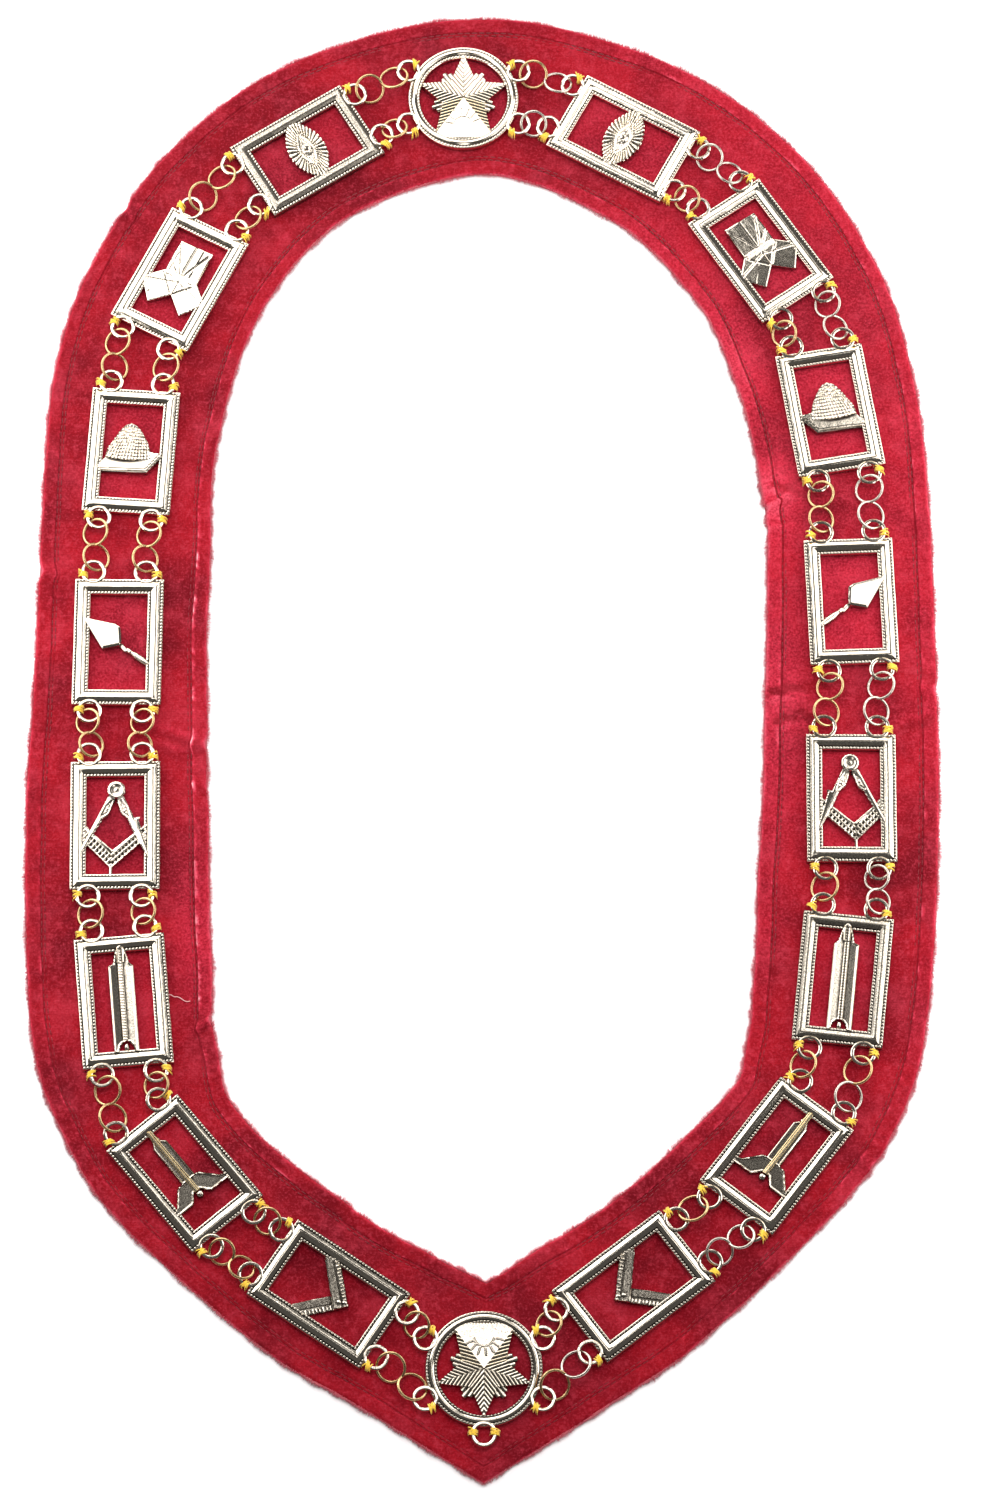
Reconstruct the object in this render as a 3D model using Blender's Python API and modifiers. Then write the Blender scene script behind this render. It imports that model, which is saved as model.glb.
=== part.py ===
"""Chain collar of cast plates on a red velvet band, lying flat with its face up.

The band is a closed ring of cloth with a point at its foot. Sixteen framed plates and two round
medallions lie along it, front up, and each pair of neighbours is joined by two strands of jump
rings, one nearer the outer edge and one nearer the neck. +Y runs from the point to the nape,
+X to the right seen from the front, and +Z out of the cloth.
"""

import math

import bmesh
import bpy
import numpy as np
from mathutils import Matrix, Vector

MM = 0.001

# The whole collar, seen from the front.
COLLAR_WIDTH = 377 * MM
COLLAR_LENGTH = 637 * MM

# Velvet band: two cloths with a turned and stitched hem.
CLOTH_WALL = 2.0 * MM
HEM_WIDTH = 6.5 * MM
HEM_RISE = 0.5 * MM
SEWN_GAP = 0.3 * MM
STATIONS_PER_SECTION = 2

# Framed plate.
PLATE_WIDTH = 37 * MM
PLATE_LENGTH = 55 * MM
PLATE_BORDER = 6.6 * MM
RIM_HEIGHT = 3.2 * MM
MOULDING_RISE = 1.5 * MM
EMBLEM_BASE = 1.4 * MM
EMBLEM_TOP = 2.7 * MM
EMBLEM_CREST = 3.8 * MM

# Round medallion.
MEDALLION_RADIUS = 23.5 * MM
MEDALLION_BORDER = 4.8 * MM
MEDALLION_SIDES = 20

# Cast loops that stand out of the plates' short sides and the medallions' rims.
LOOP_RADIUS = 4.5 * MM
LOOP_WIRE = 0.75 * MM
LOOP_STANDOFF = 3.0 * MM
LOOP_INSET = 7.5 * MM
LOOP_HEIGHT = 3.4 * MM
LOOP_SPREAD_DEG = 27.5
LOOP_STEPS = 6
LOOP_SIDES = 4
LOOP_ROOT = 1.2 * MM

# Jump rings.
LINK_RADIUS = 5.3 * MM
LINK_WIRE = 0.55 * MM
LINK_SIDES = 10
WIRE_SIDES = 5
LINK_REACH = 16.6 * MM
LINK_SLACK = 6.0 * MM
LINK_PITCH = 7.0 * MM
LEAST_TIP_DEG = 25.0
LINK_GAP = 0.22 * MM
LINK_BITE = 0.25 * MM

PLATE_BASE = CLOTH_WALL + SEWN_GAP
EMBLEM_LIFT = EMBLEM_CREST - EMBLEM_TOP
LOOP_LEVEL = PLATE_BASE + LOOP_HEIGHT

# Sections across the velvet band, once round from the point: the places of the outer and the
# inner edge, in hundredths of half the collar's width and length. Each row is one section.
#   name, outer across, outer along, inner across, inner along
BAND_SECTIONS = (
    ("point", 0.2, -100.0, 0.8, -74.3),
    ("right of the point", 26.5, -90.2, 12.0, -70.0),
    ("right breast", 48.0, -81.2, 29.0, -63.2),
    ("right lower bend", 77.5, -64.0, 52.0, -50.2),
    ("right lower corner", 89.5, -53.6, 57.2, -42.6),
    ("right lower side", 96.0, -41.0, 58.8, -32.2),
    ("right side", 99.5, -17.5, 60.6, -14.5),
    ("right middle", 100.0, 7.0, 62.3, 8.0),
    ("right upper side", 98.9, 34.0, 62.8, 25.8),
    ("right shoulder", 95.7, 50.0, 61.0, 35.5),
    ("right upper bend", 88.2, 64.6, 57.4, 45.2),
    ("right nape", 71.0, 80.5, 49.2, 57.4),
    ("right of the top", 42.2, 93.4, 31.0, 69.6),
    ("top", 0.0, 100.0, 0.0, 77.1),
    ("left of the top", -42.2, 93.8, -31.0, 70.6),
    ("left nape", -71.0, 80.6, -48.6, 58.6),
    ("left upper bend", -88.2, 64.2, -57.0, 45.0),
    ("left shoulder", -95.6, 50.0, -60.0, 34.0),
    ("left upper side", -97.8, 34.0, -60.4, 24.2),
    ("left middle", -98.9, 7.0, -60.7, 5.5),
    ("left side", -100.0, -15.0, -59.8, -13.4),
    ("left lower side", -97.6, -42.0, -58.8, -32.8),
    ("left lower corner", -89.6, -56.0, -57.2, -44.0),
    ("left lower bend", -77.0, -67.0, -52.0, -52.6),
    ("left breast", -47.0, -82.8, -29.0, -64.2),
    ("left of the point", -26.0, -90.4, -12.0, -70.4),
)

# Height of the cloth's face over a cut from one edge to the middle, as a share of the wall,
# the place as a share of the hem's width from the edge.
#   name, place, height as a share of the wall, share of the hem's rise
CLOTH_PROFILE = (
    ("edge", 0.00, 0.50, 0.0),
    ("turned edge", 0.10, 1.00, 0.2),
    ("hem crest", 0.45, 1.00, 1.0),
    ("stitch line", 1.00, 0.92, 0.0),
    ("flat", 1.90, 1.00, 0.0),
)

# Puckers where the stitches draw the cloth together. Place is counted in sections from the
# point, and reach is the share of the band that it crosses from its edge. Its length along the
# edge and how far it draws the edge in are in hems' widths, and its rise is in walls.
#   name, place in sections, edge, reach, length, rise, draw
PUCKERS = (
    ("right of the trowel", 8.3, "inner", 0.19, 1.4, 0.65, 0.25),
    ("right of the compasses", 6.9, "outer", 0.18, 1.2, 0.5, 0.15),
    ("left of the compasses", 19.45, "inner", 0.18, 1.4, 0.6, 0.18),
    ("beside the trowel", 18.5, "outer", 0.19, 1.2, 0.6, 0.28),
    ("left of the level", 21.55, "inner", 0.16, 1.4, 0.7, 0.25),
    ("left nape", 15.5, "outer", 0.18, 1.2, 0.5, 0.18),
)

# Plates and medallions in hanging order down each side: the place of the middle in hundredths
# of half the collar's width and length, and the turn of the plate's long side from +Y.
#   name, emblem, across, along, turn in degrees
PLATES = (
    ("medallion_top", "star", -4.5, 87.8, 0.0),
    ("plate_eye_left", "eye", -39.8, 80.2, -58.1),
    ("plate_leaves_left", "leaves", -68.1, 61.6, -27.4),
    ("plate_hive_left", "hive", -78.3, 37.2, -3.8),
    ("plate_trowel_left", "trowel", -80.4, 10.7, -0.5),
    ("plate_compasses_left", "compasses", -80.2, -14.3, 0.7),
    ("plate_plumb_left", "plumb", -77.6, -37.8, 5.2),
    ("plate_level_left", "level", -63.8, -60.4, 40.0),
    ("plate_square_left", "square", -32.8, -76.0, 56.2),
    ("medallion_bottom", "star", 0.3, -85.6, 180.0),
    ("plate_square_right", "square", 32.1, -75.0, -52.6),
    ("plate_level_right", "level", 63.0, -58.1, -37.7),
    ("plate_plumb_right", "plumb", 77.9, -34.9, -6.2),
    ("plate_compasses_right", "compasses", 80.5, -10.6, -0.4),
    ("plate_trowel_right", "trowel", 81.3, 16.3, 2.1),
    ("plate_hive_right", "hive", 77.4, 43.0, 9.6),
    ("plate_leaves_right", "leaves", 62.4, 65.7, 34.4),
    ("plate_eye_right", "eye", 31.7, 81.9, 61.2),
)

# Moulding of a plate's border from its outer edge inwards.
#   name, share of the border's width, share of the moulding's rise
MOULDING = (
    ("outer rim", 0.19, 0.0),
    ("outer slope", 0.30, 1.0),
    ("inner slope", 0.30, -1.0),
)

# How far each jump ring lies off the line between its two loops, towards the collar's left as
# seen looking along the strand: chosen ring by ring to follow the chain's lie.
RING_SWAYS = {
    "links_left_outer": (
        (0.0, 0.3), (0.4, 0.2), (-0.8, 0.1), (-0.8, 0.5), (-0.6, 0.9), (0.4,), (0.8, 0.3), (0.8, 0.3), (0.8, 0.4),
    ),
    "links_left_inner": (
        (-0.5,), (0.0,), (0.0,), (-0.4, -1.0), (0.0, -1.0), (0.0,), (-0.3,), (0.0,), (0.3,),
    ),
    "links_right_outer": (
        (0.5, -0.8), (0.0, 0.2), (-0.4, -1.0), (-0.6, -0.7), (0.2, -1.0), (-0.7, 0.5), (0.0, -0.3),
        (-0.8, -1.0), (-0.6, -0.6),
    ),
    "links_right_inner": (
        (0.8,), (0.6,), (-0.8,), (1.0, 0.4), (1.0, 0.4), (0.2,), (-0.6,), (0.0,), (-0.3,),
    ),
}

SILVER_STRANDS = ("links_right_outer",)

# Colours: base colour, metallic, roughness.
FINISHES = {
    "red velvet": ((0.42, 0.006, 0.018), 0.0, 0.9),
    "pale nickel": ((0.80, 0.76, 0.70), 1.0, 0.22),
    "gilt wire": ((0.80, 0.60, 0.33), 1.0, 0.2),
    "silver wire": ((0.72, 0.69, 0.66), 1.0, 0.2),
}


def new_collection(name):
    collection = bpy.data.collections.new(name)
    bpy.context.scene.collection.children.link(collection)
    return collection


def finish_of(name, node):
    """A node's own material in one of the finishes."""
    colour, metallic, roughness = FINISHES[name]
    material = bpy.data.materials.new(node + " " + name)
    material.use_nodes = True
    shader = material.node_tree.nodes["Principled BSDF"]
    shader.inputs["Base Color"].default_value = (*colour, 1.0)
    shader.inputs["Metallic"].default_value = metallic
    shader.inputs["Roughness"].default_value = roughness
    return material


def object_from(bm, name, collection):
    mesh = bpy.data.meshes.new(name)
    bmesh.ops.recalc_face_normals(bm, faces=bm.faces)
    bm.to_mesh(mesh)
    bm.free()
    piece = bpy.data.objects.new(name, mesh)
    collection.objects.link(piece)
    return piece


def as_mesh(piece, collection):
    """The piece as a plain closed mesh, its modifiers and its curve's caps made one."""
    bpy.context.view_layer.update()
    graph = bpy.context.evaluated_depsgraph_get()
    mesh = bpy.data.meshes.new_from_object(piece.evaluated_get(graph))
    bm = bmesh.new()
    bm.from_mesh(mesh)
    bpy.data.meshes.remove(mesh)
    bmesh.ops.remove_doubles(bm, verts=bm.verts, dist=0.001 * MM)
    name = piece.name
    place = piece.matrix_world.copy()
    bpy.data.objects.remove(piece)
    solid = object_from(bm, name, collection)
    solid.matrix_world = place
    return solid


def fused(body, pieces, collection, cutters=()):
    """The body with the cutters taken out and the pieces joined on, as one mesh."""
    for helper, operation in [(c, "DIFFERENCE") for c in cutters] + [(p, "UNION") for p in pieces]:
        join = body.modifiers.new(helper.name, "BOOLEAN")
        join.operation = operation
        join.object = helper
        join.solver = "EXACT"
    solid = as_mesh(body, collection)
    for helper in (*cutters, *pieces):
        bpy.data.objects.remove(helper)
    return solid


def flat_piece(name, outline, low, high, collection):
    """A plate of the outline, from low to high."""
    curve = bpy.data.curves.new(name, "CURVE")
    curve.dimensions = "2D"
    curve.fill_mode = "BOTH"
    curve.extrude = (high - low) / 2
    spline = curve.splines.new("POLY")
    spline.points.add(len(outline) - 1)
    for point, (x, y) in zip(spline.points, outline):
        point.co = (x, y, 0, 1)
    spline.use_cyclic_u = True
    piece = bpy.data.objects.new(name, curve)
    piece.location.z = (low + high) / 2
    collection.objects.link(piece)
    return as_mesh(piece, collection)


def hull_piece(name, points, collection):
    """The tight convex solid round the points."""
    bm = bmesh.new()
    for point in points:
        bm.verts.new(point)
    hull = bmesh.ops.convex_hull(bm, input=bm.verts)
    bmesh.ops.delete(bm, geom=hull["geom_interior"], context="VERTS")
    return object_from(bm, name, collection)


def crested_piece(name, outline, crest, collection):
    """A cast leaf: the outline with upright edges, rising to its crest line."""
    low = [(x, y, EMBLEM_BASE) for x, y in outline]
    edge = [(x, y, EMBLEM_TOP) for x, y in outline]
    top = [(x, y, EMBLEM_CREST) for x, y in crest]
    return hull_piece(name, low + edge + top, collection)


def round_piece(name, x, y, radius, low, high, sides, collection):
    """A cast disc or boss."""
    bm = bmesh.new()
    bmesh.ops.create_cone(
        bm, cap_ends=True, segments=sides, radius1=radius, radius2=radius, depth=high - low
    )
    piece = object_from(bm, name, collection)
    piece.location = (x, y, (low + high) / 2)
    return piece


def spindle_piece(name, start, end, widths, collection):
    """A handle or bob from start to end, with its widths at even steps in plate widths."""
    axis = Vector(end) - Vector(start)
    side = Vector((-axis.y, axis.x)).normalized()
    middle = (EMBLEM_BASE + EMBLEM_CREST) / 2
    points = []
    for step, width in enumerate(widths):
        centre = Vector(start) + axis * step / (len(widths) - 1)
        for across, up in ((0.5, 0.0), (0.0, 0.5), (-0.5, 0.0), (0.0, -0.5)):
            spot = centre + side * across * width * PLATE_WIDTH
            points.append((spot.x, spot.y, middle + up * width * PLATE_WIDTH))
    return hull_piece(name, points, collection)


def on_plate(*shares):
    """Points given in hundredths of the plate's half width and half length."""
    return [(x * PLATE_WIDTH / 200, y * PLATE_LENGTH / 200) for x, y in shares]


def eye_emblem(collection):
    """Almond of rays right across the window, with a lidded eye in its middle."""
    half = 0.78 * PLATE_WIDTH / 2
    rise = 0.2 * PLATE_WIDTH
    turns = [math.radians(a) for a in range(0, 360, 30)]
    almond = [(half * math.cos(a), rise * math.sin(a) * abs(math.sin(a)) ** 0.35) for a in turns]
    rays = [(x, y, EMBLEM_BASE) for x, y in almond] + [(x, y, EMBLEM_TOP) for x, y in almond]
    rays += [(0.5 * x, 0.5 * y, EMBLEM_TOP + 0.55 * EMBLEM_LIFT) for x, y in almond]
    lid = [(0.46 * x, 0.32 * y, EMBLEM_TOP) for x, y in almond]
    lid += [(0.3 * x, 0.14 * y, EMBLEM_CREST + 0.35 * EMBLEM_LIFT) for x, y in almond[::2]]
    return [hull_piece("rays", rays, collection), hull_piece("lid", lid, collection)]


def leaves_emblem(collection):
    """Three folded leaves that meet at the middle: one upright and two spread below."""
    upper = crested_piece(
        "upper leaf",
        on_plate((-40.5, -6), (40.5, -6), (40.5, 58), (-40.5, 58)),
        on_plate((0, 0), (0, 56)),
        collection,
    )
    left = crested_piece(
        "left leaf",
        on_plate((0, -2), (-39, 1), (-78, -22), (-40, -54), (0, -29)),
        on_plate((-72, -23), (0, -7)),
        collection,
    )
    right = crested_piece(
        "right leaf",
        on_plate((0, -2), (39, 1), (78, -23), (39, -54), (0, -29)),
        on_plate((72, -24), (0, -7)),
        collection,
    )
    return [upper, left, right]


def hive_emblem(collection):
    """Woven skep on a slanted board."""
    board = on_plate((-78, -30), (-55, -12), (50, -1), (73, -4), (40, -33), (-66, -35))
    low = [(x, y, EMBLEM_BASE) for x, y in board]
    face = [(x, y, EMBLEM_TOP + 0.25 * EMBLEM_LIFT) for x, y in board]
    rows = (
        ("foot", -14, -51, 46, 0.8),
        ("belly", 4, -46, 38, 1.0),
        ("shoulder", 23, -29, 21, 0.85),
        ("neck", 37, -17, 9, 0.5),
        ("top", 42, -8, 2, 0.15),
    )
    foot = EMBLEM_BASE + 0.35 * EMBLEM_LIFT
    skep = []
    for _, along, left, right, crown in rows:
        (x0, y0), (x1, _) = on_plate((left, along), (right, along))
        skep += [(x0, y0, foot), (x1, y0, foot)]
        top = foot + crown * 2.5 * EMBLEM_LIFT
        skep += [(x0 + (x1 - x0) * s, y0, top - (s - 0.5) ** 2 * 2.7 * EMBLEM_LIFT) for s in (0.25, 0.5, 0.75)]
    return [hull_piece("board", low + face, collection), hull_piece("skep", skep, collection)]


def trowel_emblem(collection):
    """Pointing trowel lying across the window."""
    blade = crested_piece(
        "blade",
        on_plate((-78, 37), (-6.5, 26), (5, 21), (7, -5), (-35, -11)),
        on_plate((-70, 34), (2, -2)),
        collection,
    )
    (neck, ferrule, butt) = on_plate((4, -2), (20, -14), (76, -38))
    shank = spindle_piece("shank", neck, ferrule, (0.041, 0.035), collection)
    handle = spindle_piece(
        "handle", ferrule, butt, (0.041, 0.051, 0.068, 0.06, 0.032), collection
    )
    return [blade, shank, handle]


def compasses_emblem(collection):
    """Compasses over a square whose corner is tied to the lower border."""
    square = flat_piece(
        "square",
        on_plate((-9, -66.5), (71, -19), (71, 3.5), (-5.5, -40), (-69, 1.5), (-78, -20)),
        EMBLEM_BASE,
        EMBLEM_TOP,
        collection,
    )
    left = flat_piece(
        "left leg",
        on_plate((-14, 44), (-43, 9.5), (-92, -53), (-89, -56.5), (-26, 9.5), (-16, 14), (2, 35), (2.5, 54)),
        EMBLEM_BASE + 0.6 * EMBLEM_LIFT,
        EMBLEM_CREST,
        collection,
    )
    right = flat_piece(
        "right leg",
        on_plate((18, 44), (44.5, 9.5), (80, -54), (76, -56), (27, 10.5), (13, 18), (2, 35), (2.5, 54)),
        EMBLEM_BASE + 0.7 * EMBLEM_LIFT,
        EMBLEM_CREST + 0.1 * EMBLEM_LIFT,
        collection,
    )
    ((x, y),) = on_plate((2.5, 54))
    radius = 0.095 * PLATE_WIDTH
    cap = EMBLEM_CREST + 0.55 * EMBLEM_LIFT
    hinge = round_piece("hinge", x, y, radius, EMBLEM_BASE, cap, 12, collection)
    tie = flat_piece(
        "tie",
        on_plate((-11, -80), (-7.5, -80), (-7.5, -64), (-11, -64)),
        EMBLEM_BASE + 0.2 * EMBLEM_LIFT,
        EMBLEM_TOP - 0.2 * EMBLEM_LIFT,
        collection,
    )
    return [square, left, right, hinge, tie]


def plumb_emblem(collection):
    """Plumb rule from border to border, its bob hanging in an arch at the foot."""
    board = flat_piece(
        "board",
        on_plate(
            (-28.5, -80), (-28.5, 53.5), (-16, 56), (-10, 78), (-5.5, 89), (5.5, 89), (8.5, 78),
            (18.5, 56), (26.5, 53), (26.5, -80), (16, -80), (14, -69), (0, -61), (-15.5, -69), (-18, -80),
        ),
        EMBLEM_BASE,
        EMBLEM_TOP,
        collection,
    )
    foot = on_plate((-24, 53), (-24, -60), (22, -60), (22, 53), (-1.5, 84))
    roof = [(x, y, EMBLEM_TOP - 0.2 * EMBLEM_LIFT) for x, y in foot]
    roof += [(x, y, EMBLEM_CREST) for x, y in on_plate((-1.5, 76), (-1.5, -60))]
    top, tip = on_plate((-1, -58), (-1, -81))
    bob = spindle_piece("bob", top, tip, (0.022, 0.049, 0.043, 0.027), collection)
    return [board, hull_piece("slopes", roof, collection), bob]


def level_emblem(collection):
    """Mason's level: an upright board with a rod and ball down its middle, on two wings."""
    board = flat_piece(
        "board",
        on_plate((-20, -13), (-20, 56), (-10, 67), (-8.5, 84), (2, 84), (4, 67), (15.5, 56), (15.5, -13)),
        EMBLEM_BASE,
        EMBLEM_TOP,
        collection,
    )
    wings = flat_piece(
        "wings",
        on_plate(
            (-21, -10.5), (-35.5, -12), (-63, -34), (-78, -38), (-78, -45.5), (-29, -44.5), (-12, -32),
            (4, -32), (23, -45), (74, -45.5), (74, -37.5), (56, -34), (26.5, -11.5), (16.5, -10),
        ),
        EMBLEM_BASE + 0.1 * EMBLEM_LIFT,
        EMBLEM_TOP + 0.2 * EMBLEM_LIFT,
        collection,
    )
    rod = on_plate((-9, 82), (-9, -36), (2.5, -36), (2.5, 82))
    bar = [(x, y, EMBLEM_TOP - 0.4 * EMBLEM_LIFT) for x, y in rod]
    bar += [(x, y, EMBLEM_CREST) for x, y in on_plate((-3.2, 80), (-3.2, -34))]
    ((x, y),) = on_plate((-4, -38.5))
    bm = bmesh.new()
    bmesh.ops.create_icosphere(bm, subdivisions=1, radius=0.038 * PLATE_WIDTH)
    ball = object_from(bm, "ball", collection)
    ball.location = (x, y, EMBLEM_TOP)
    return [board, wings, hull_piece("rod", bar, collection), ball]


def square_emblem(collection):
    """Builder's square with its corner down and one arm lapped over the other."""
    ruler = flat_piece(
        "ruler",
        on_plate((0.5, -35), (84, 20), (63, 36), (0.5, -5), (-62, 36), (-84, 20)),
        EMBLEM_BASE,
        EMBLEM_TOP,
        collection,
    )
    lap = flat_piece(
        "lap",
        on_plate((0.5, -34), (82, 20), (62.5, 34.5), (-24, -18)),
        EMBLEM_TOP - 0.3 * EMBLEM_LIFT,
        EMBLEM_TOP + 0.45 * EMBLEM_LIFT,
        collection,
    )
    rivets = []
    for number, (x, y) in enumerate(on_plate((-2, -19), (0.5, -27))):
        radius = 0.019 * PLATE_WIDTH
        cap = EMBLEM_CREST - 0.2 * EMBLEM_LIFT
        rivets.append(round_piece(f"rivet {number}", x, y, radius, EMBLEM_TOP, cap, 6, collection))
    return [ruler, lap, *rivets]


def at_angle(degrees, radius):
    return radius * math.cos(math.radians(degrees)), radius * math.sin(math.radians(degrees))


def star_emblem(collection):
    """Five ribbed arms, short rays between the upper ones and a fan between the lower two."""
    window = MEDALLION_RADIUS - MEDALLION_BORDER
    arms = []
    for number in range(5):
        turn = 90 + 72 * number
        outline = [(0.0, 0.0), at_angle(turn - 36, 0.42 * window)]
        outline += [at_angle(turn, 1.06 * window), at_angle(turn + 36, 0.42 * window)]
        crest = [at_angle(turn, 0.01 * window), at_angle(turn, 0.95 * window)]
        arms.append(crested_piece(f"arm {number}", outline, crest, collection))
    for number, turn in enumerate((54, 126, 198, 342)):
        outline = [at_angle(turn - 12, 0.7 * window), at_angle(turn, 0.2 * window)]
        outline += [at_angle(turn + 12, 0.7 * window)]
        low = [(x, y, EMBLEM_BASE + 0.1 * EMBLEM_LIFT) for x, y in outline]
        high = [(x, y, EMBLEM_TOP + 0.2 * EMBLEM_LIFT) for x, y in outline]
        arms.append(hull_piece(f"ray {number}", low + high, collection))
    fan = [at_angle(turn, 1.06 * window) for turn in (238, 252, 270, 288, 302)]
    low = [(x, y, EMBLEM_BASE + 0.2 * EMBLEM_LIFT) for x, y in [(0, 0), *fan]]
    high = [(x, y, EMBLEM_TOP + 0.3 * EMBLEM_LIFT) for x, y in fan]
    high.append((0, 0, EMBLEM_CREST - 0.1 * EMBLEM_LIFT))
    arms.append(hull_piece("fan", low + high, collection))
    turns = np.radians(range(0, 181, 30))
    low = [(0.21 * window * math.cos(a), (0.21 * math.sin(a) - 0.8) * window, EMBLEM_TOP) for a in turns]
    high = [(0.7 * x, 0.75 * y - 0.2 * window, EMBLEM_CREST) for x, y, _ in low]
    arms.append(hull_piece("sun", low + high, collection))
    return arms


EMBLEMS = {
    "eye": eye_emblem,
    "leaves": leaves_emblem,
    "hive": hive_emblem,
    "trowel": trowel_emblem,
    "compasses": compasses_emblem,
    "plumb": plumb_emblem,
    "level": level_emblem,
    "square": square_emblem,
    "star": star_emblem,
}


def frame_piece(collection):
    """Oblong border whose moulding is raised by insetting the top of a flat slab, not yet pierced."""
    bm = bmesh.new()
    bmesh.ops.create_cube(bm, size=1.0)
    size = Matrix.Diagonal((PLATE_WIDTH, PLATE_LENGTH, RIM_HEIGHT, 1.0))
    bmesh.ops.transform(bm, matrix=Matrix.Translation((0, 0, RIM_HEIGHT / 2)) @ size, verts=bm.verts)
    (top,) = [face for face in bm.faces if face.normal.z > 0.9]
    for _, width, rise in MOULDING:
        bmesh.ops.inset_individual(
            bm, faces=[top], thickness=width * PLATE_BORDER, depth=rise * MOULDING_RISE
        )
    return object_from(bm, "frame", collection)


def window_cutter(collection):
    bm = bmesh.new()
    bmesh.ops.create_cube(bm, size=1.0)
    width = PLATE_WIDTH - 2 * PLATE_BORDER
    length = PLATE_LENGTH - 2 * PLATE_BORDER
    bmesh.ops.transform(bm, matrix=Matrix.Diagonal((width, length, 6 * RIM_HEIGHT, 1.0)), verts=bm.verts)
    return object_from(bm, "window", collection)


def rim_piece(collection):
    """The medallion's round border: the same moulding turned about the middle."""
    places = [(MEDALLION_RADIUS, 0.0), (MEDALLION_RADIUS, RIM_HEIGHT)]
    for _, width, rise in MOULDING:
        radius, height = places[-1]
        places.append((radius - width * MEDALLION_BORDER, height + rise * MOULDING_RISE))
    inner = MEDALLION_RADIUS - MEDALLION_BORDER
    places += [(inner, places[-1][1]), (inner, 0.0)]
    mesh = bpy.data.meshes.new("rim")
    count = len(places)
    around = [(number, (number + 1) % count) for number in range(count)]
    mesh.from_pydata([(radius, 0.0, height) for radius, height in reversed(places)], around, [])
    rim = bpy.data.objects.new("rim", mesh)
    collection.objects.link(rim)
    turn = rim.modifiers.new("turn", "SCREW")
    turn.steps = MEDALLION_SIDES
    turn.render_steps = MEDALLION_SIDES
    turn.use_merge_vertices = True
    turn.merge_threshold = 0.00001
    return as_mesh(rim, collection)


def loop_places(emblem):
    """Middle and outward direction of each cast loop, in the plate's own plane, named by the
    end of the chain that it faces and the strand that it holds on a plate of the right side."""
    places = {}
    if emblem == "star":
        reach = MEDALLION_RADIUS + LOOP_STANDOFF
        for end, base in (("right", 0), ("left", 180)):
            for strand, turn in (("outer", LOOP_SPREAD_DEG), ("inner", -LOOP_SPREAD_DEG)):
                angle = base + (turn if end == "right" else -turn)
                places[end, strand] = (at_angle(angle, reach), angle)
        return places
    across = PLATE_WIDTH / 2 - LOOP_INSET
    along = PLATE_LENGTH / 2 + LOOP_STANDOFF
    for end, sign in (("up", 1), ("down", -1)):
        for strand, side in (("outer", 1), ("inner", -1)):
            places[end, strand] = ((side * across, sign * along), 90 * sign)
    return places


def loop_line(middle, heading, root):
    """Corner points of a cast loop's wire: an arc about its middle that starts and ends inside
    the border it grows from."""
    half = math.degrees(math.acos(max(-1.0, -(LOOP_STANDOFF + root) / LOOP_RADIUS)))
    if LOOP_STANDOFF + root >= LOOP_RADIUS:
        half = 168.0
    angles = np.radians(heading + np.linspace(-half, half, LOOP_STEPS + 1))
    x = middle[0] + LOOP_RADIUS * np.cos(angles)
    y = middle[1] + LOOP_RADIUS * np.sin(angles)
    return np.stack([x, y, np.full(len(x), LOOP_HEIGHT)], axis=1)


def wire_piece(name, points, section, collection):
    curve = bpy.data.curves.new(name, "CURVE")
    curve.dimensions = "3D"
    curve.bevel_mode = "OBJECT"
    curve.bevel_object = section
    curve.use_fill_caps = True
    spline = curve.splines.new("POLY")
    spline.points.add(len(points) - 1)
    for point, place in zip(spline.points, points):
        point.co = (*place, 1)
    piece = bpy.data.objects.new(name, curve)
    collection.objects.link(piece)
    return as_mesh(piece, collection)


def wire_section(radius, collection):
    """The cut of a cast wire, one flat upwards."""
    curve = bpy.data.curves.new("loop wire section", "CURVE")
    curve.dimensions = "2D"
    spline = curve.splines.new("POLY")
    spline.points.add(LOOP_SIDES - 1)
    for number, point in enumerate(spline.points):
        angle = math.radians(45 + 360 * number / LOOP_SIDES)
        point.co = (radius * math.cos(angle), radius * math.sin(angle), 0, 1)
    spline.use_cyclic_u = True
    section = bpy.data.objects.new("loop wire section", curve)
    section.hide_render = True
    section.display_type = "WIRE"
    collection.objects.link(section)
    return section


def plate_pose(across, along, turn):
    """Where a plate lies: its place in the collar and its turn about the vertical."""
    place = Matrix.Translation((across / 200 * COLLAR_WIDTH, along / 200 * COLLAR_LENGTH, PLATE_BASE))
    return place @ Matrix.Rotation(math.radians(turn), 4, "Z")


def make_plate(name, emblem, pose, section, parts, helpers):
    """One casting: border, emblem and loops."""
    pieces = EMBLEMS[emblem](helpers)
    if name.endswith("right"):
        for piece in pieces:
            piece.matrix_world = Matrix.Diagonal((-1, 1, 1, 1)) @ piece.matrix_basis
    loops = [(middle, heading, LOOP_ROOT) for middle, heading in loop_places(emblem).values()]
    if name == "medallion_bottom":
        loops.append(((0.0, MEDALLION_RADIUS + LOOP_STANDOFF), 90, LOOP_ROOT))
    for number, (middle, heading, root) in enumerate(loops):
        line = loop_line(middle, heading, root)
        pieces.append(wire_piece(f"loop {number}", line, section, helpers))
    if emblem == "star":
        plate = fused(rim_piece(parts), pieces, parts)
    else:
        plate = fused(frame_piece(parts), pieces, parts, [window_cutter(helpers)])
    plate.name = name
    plate.matrix_world = pose
    plate.data.shade_smooth()
    plate.data.set_sharp_from_angle(angle=math.radians(35))
    plate.data.materials.append(finish_of("pale nickel", name))
    return plate


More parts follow.
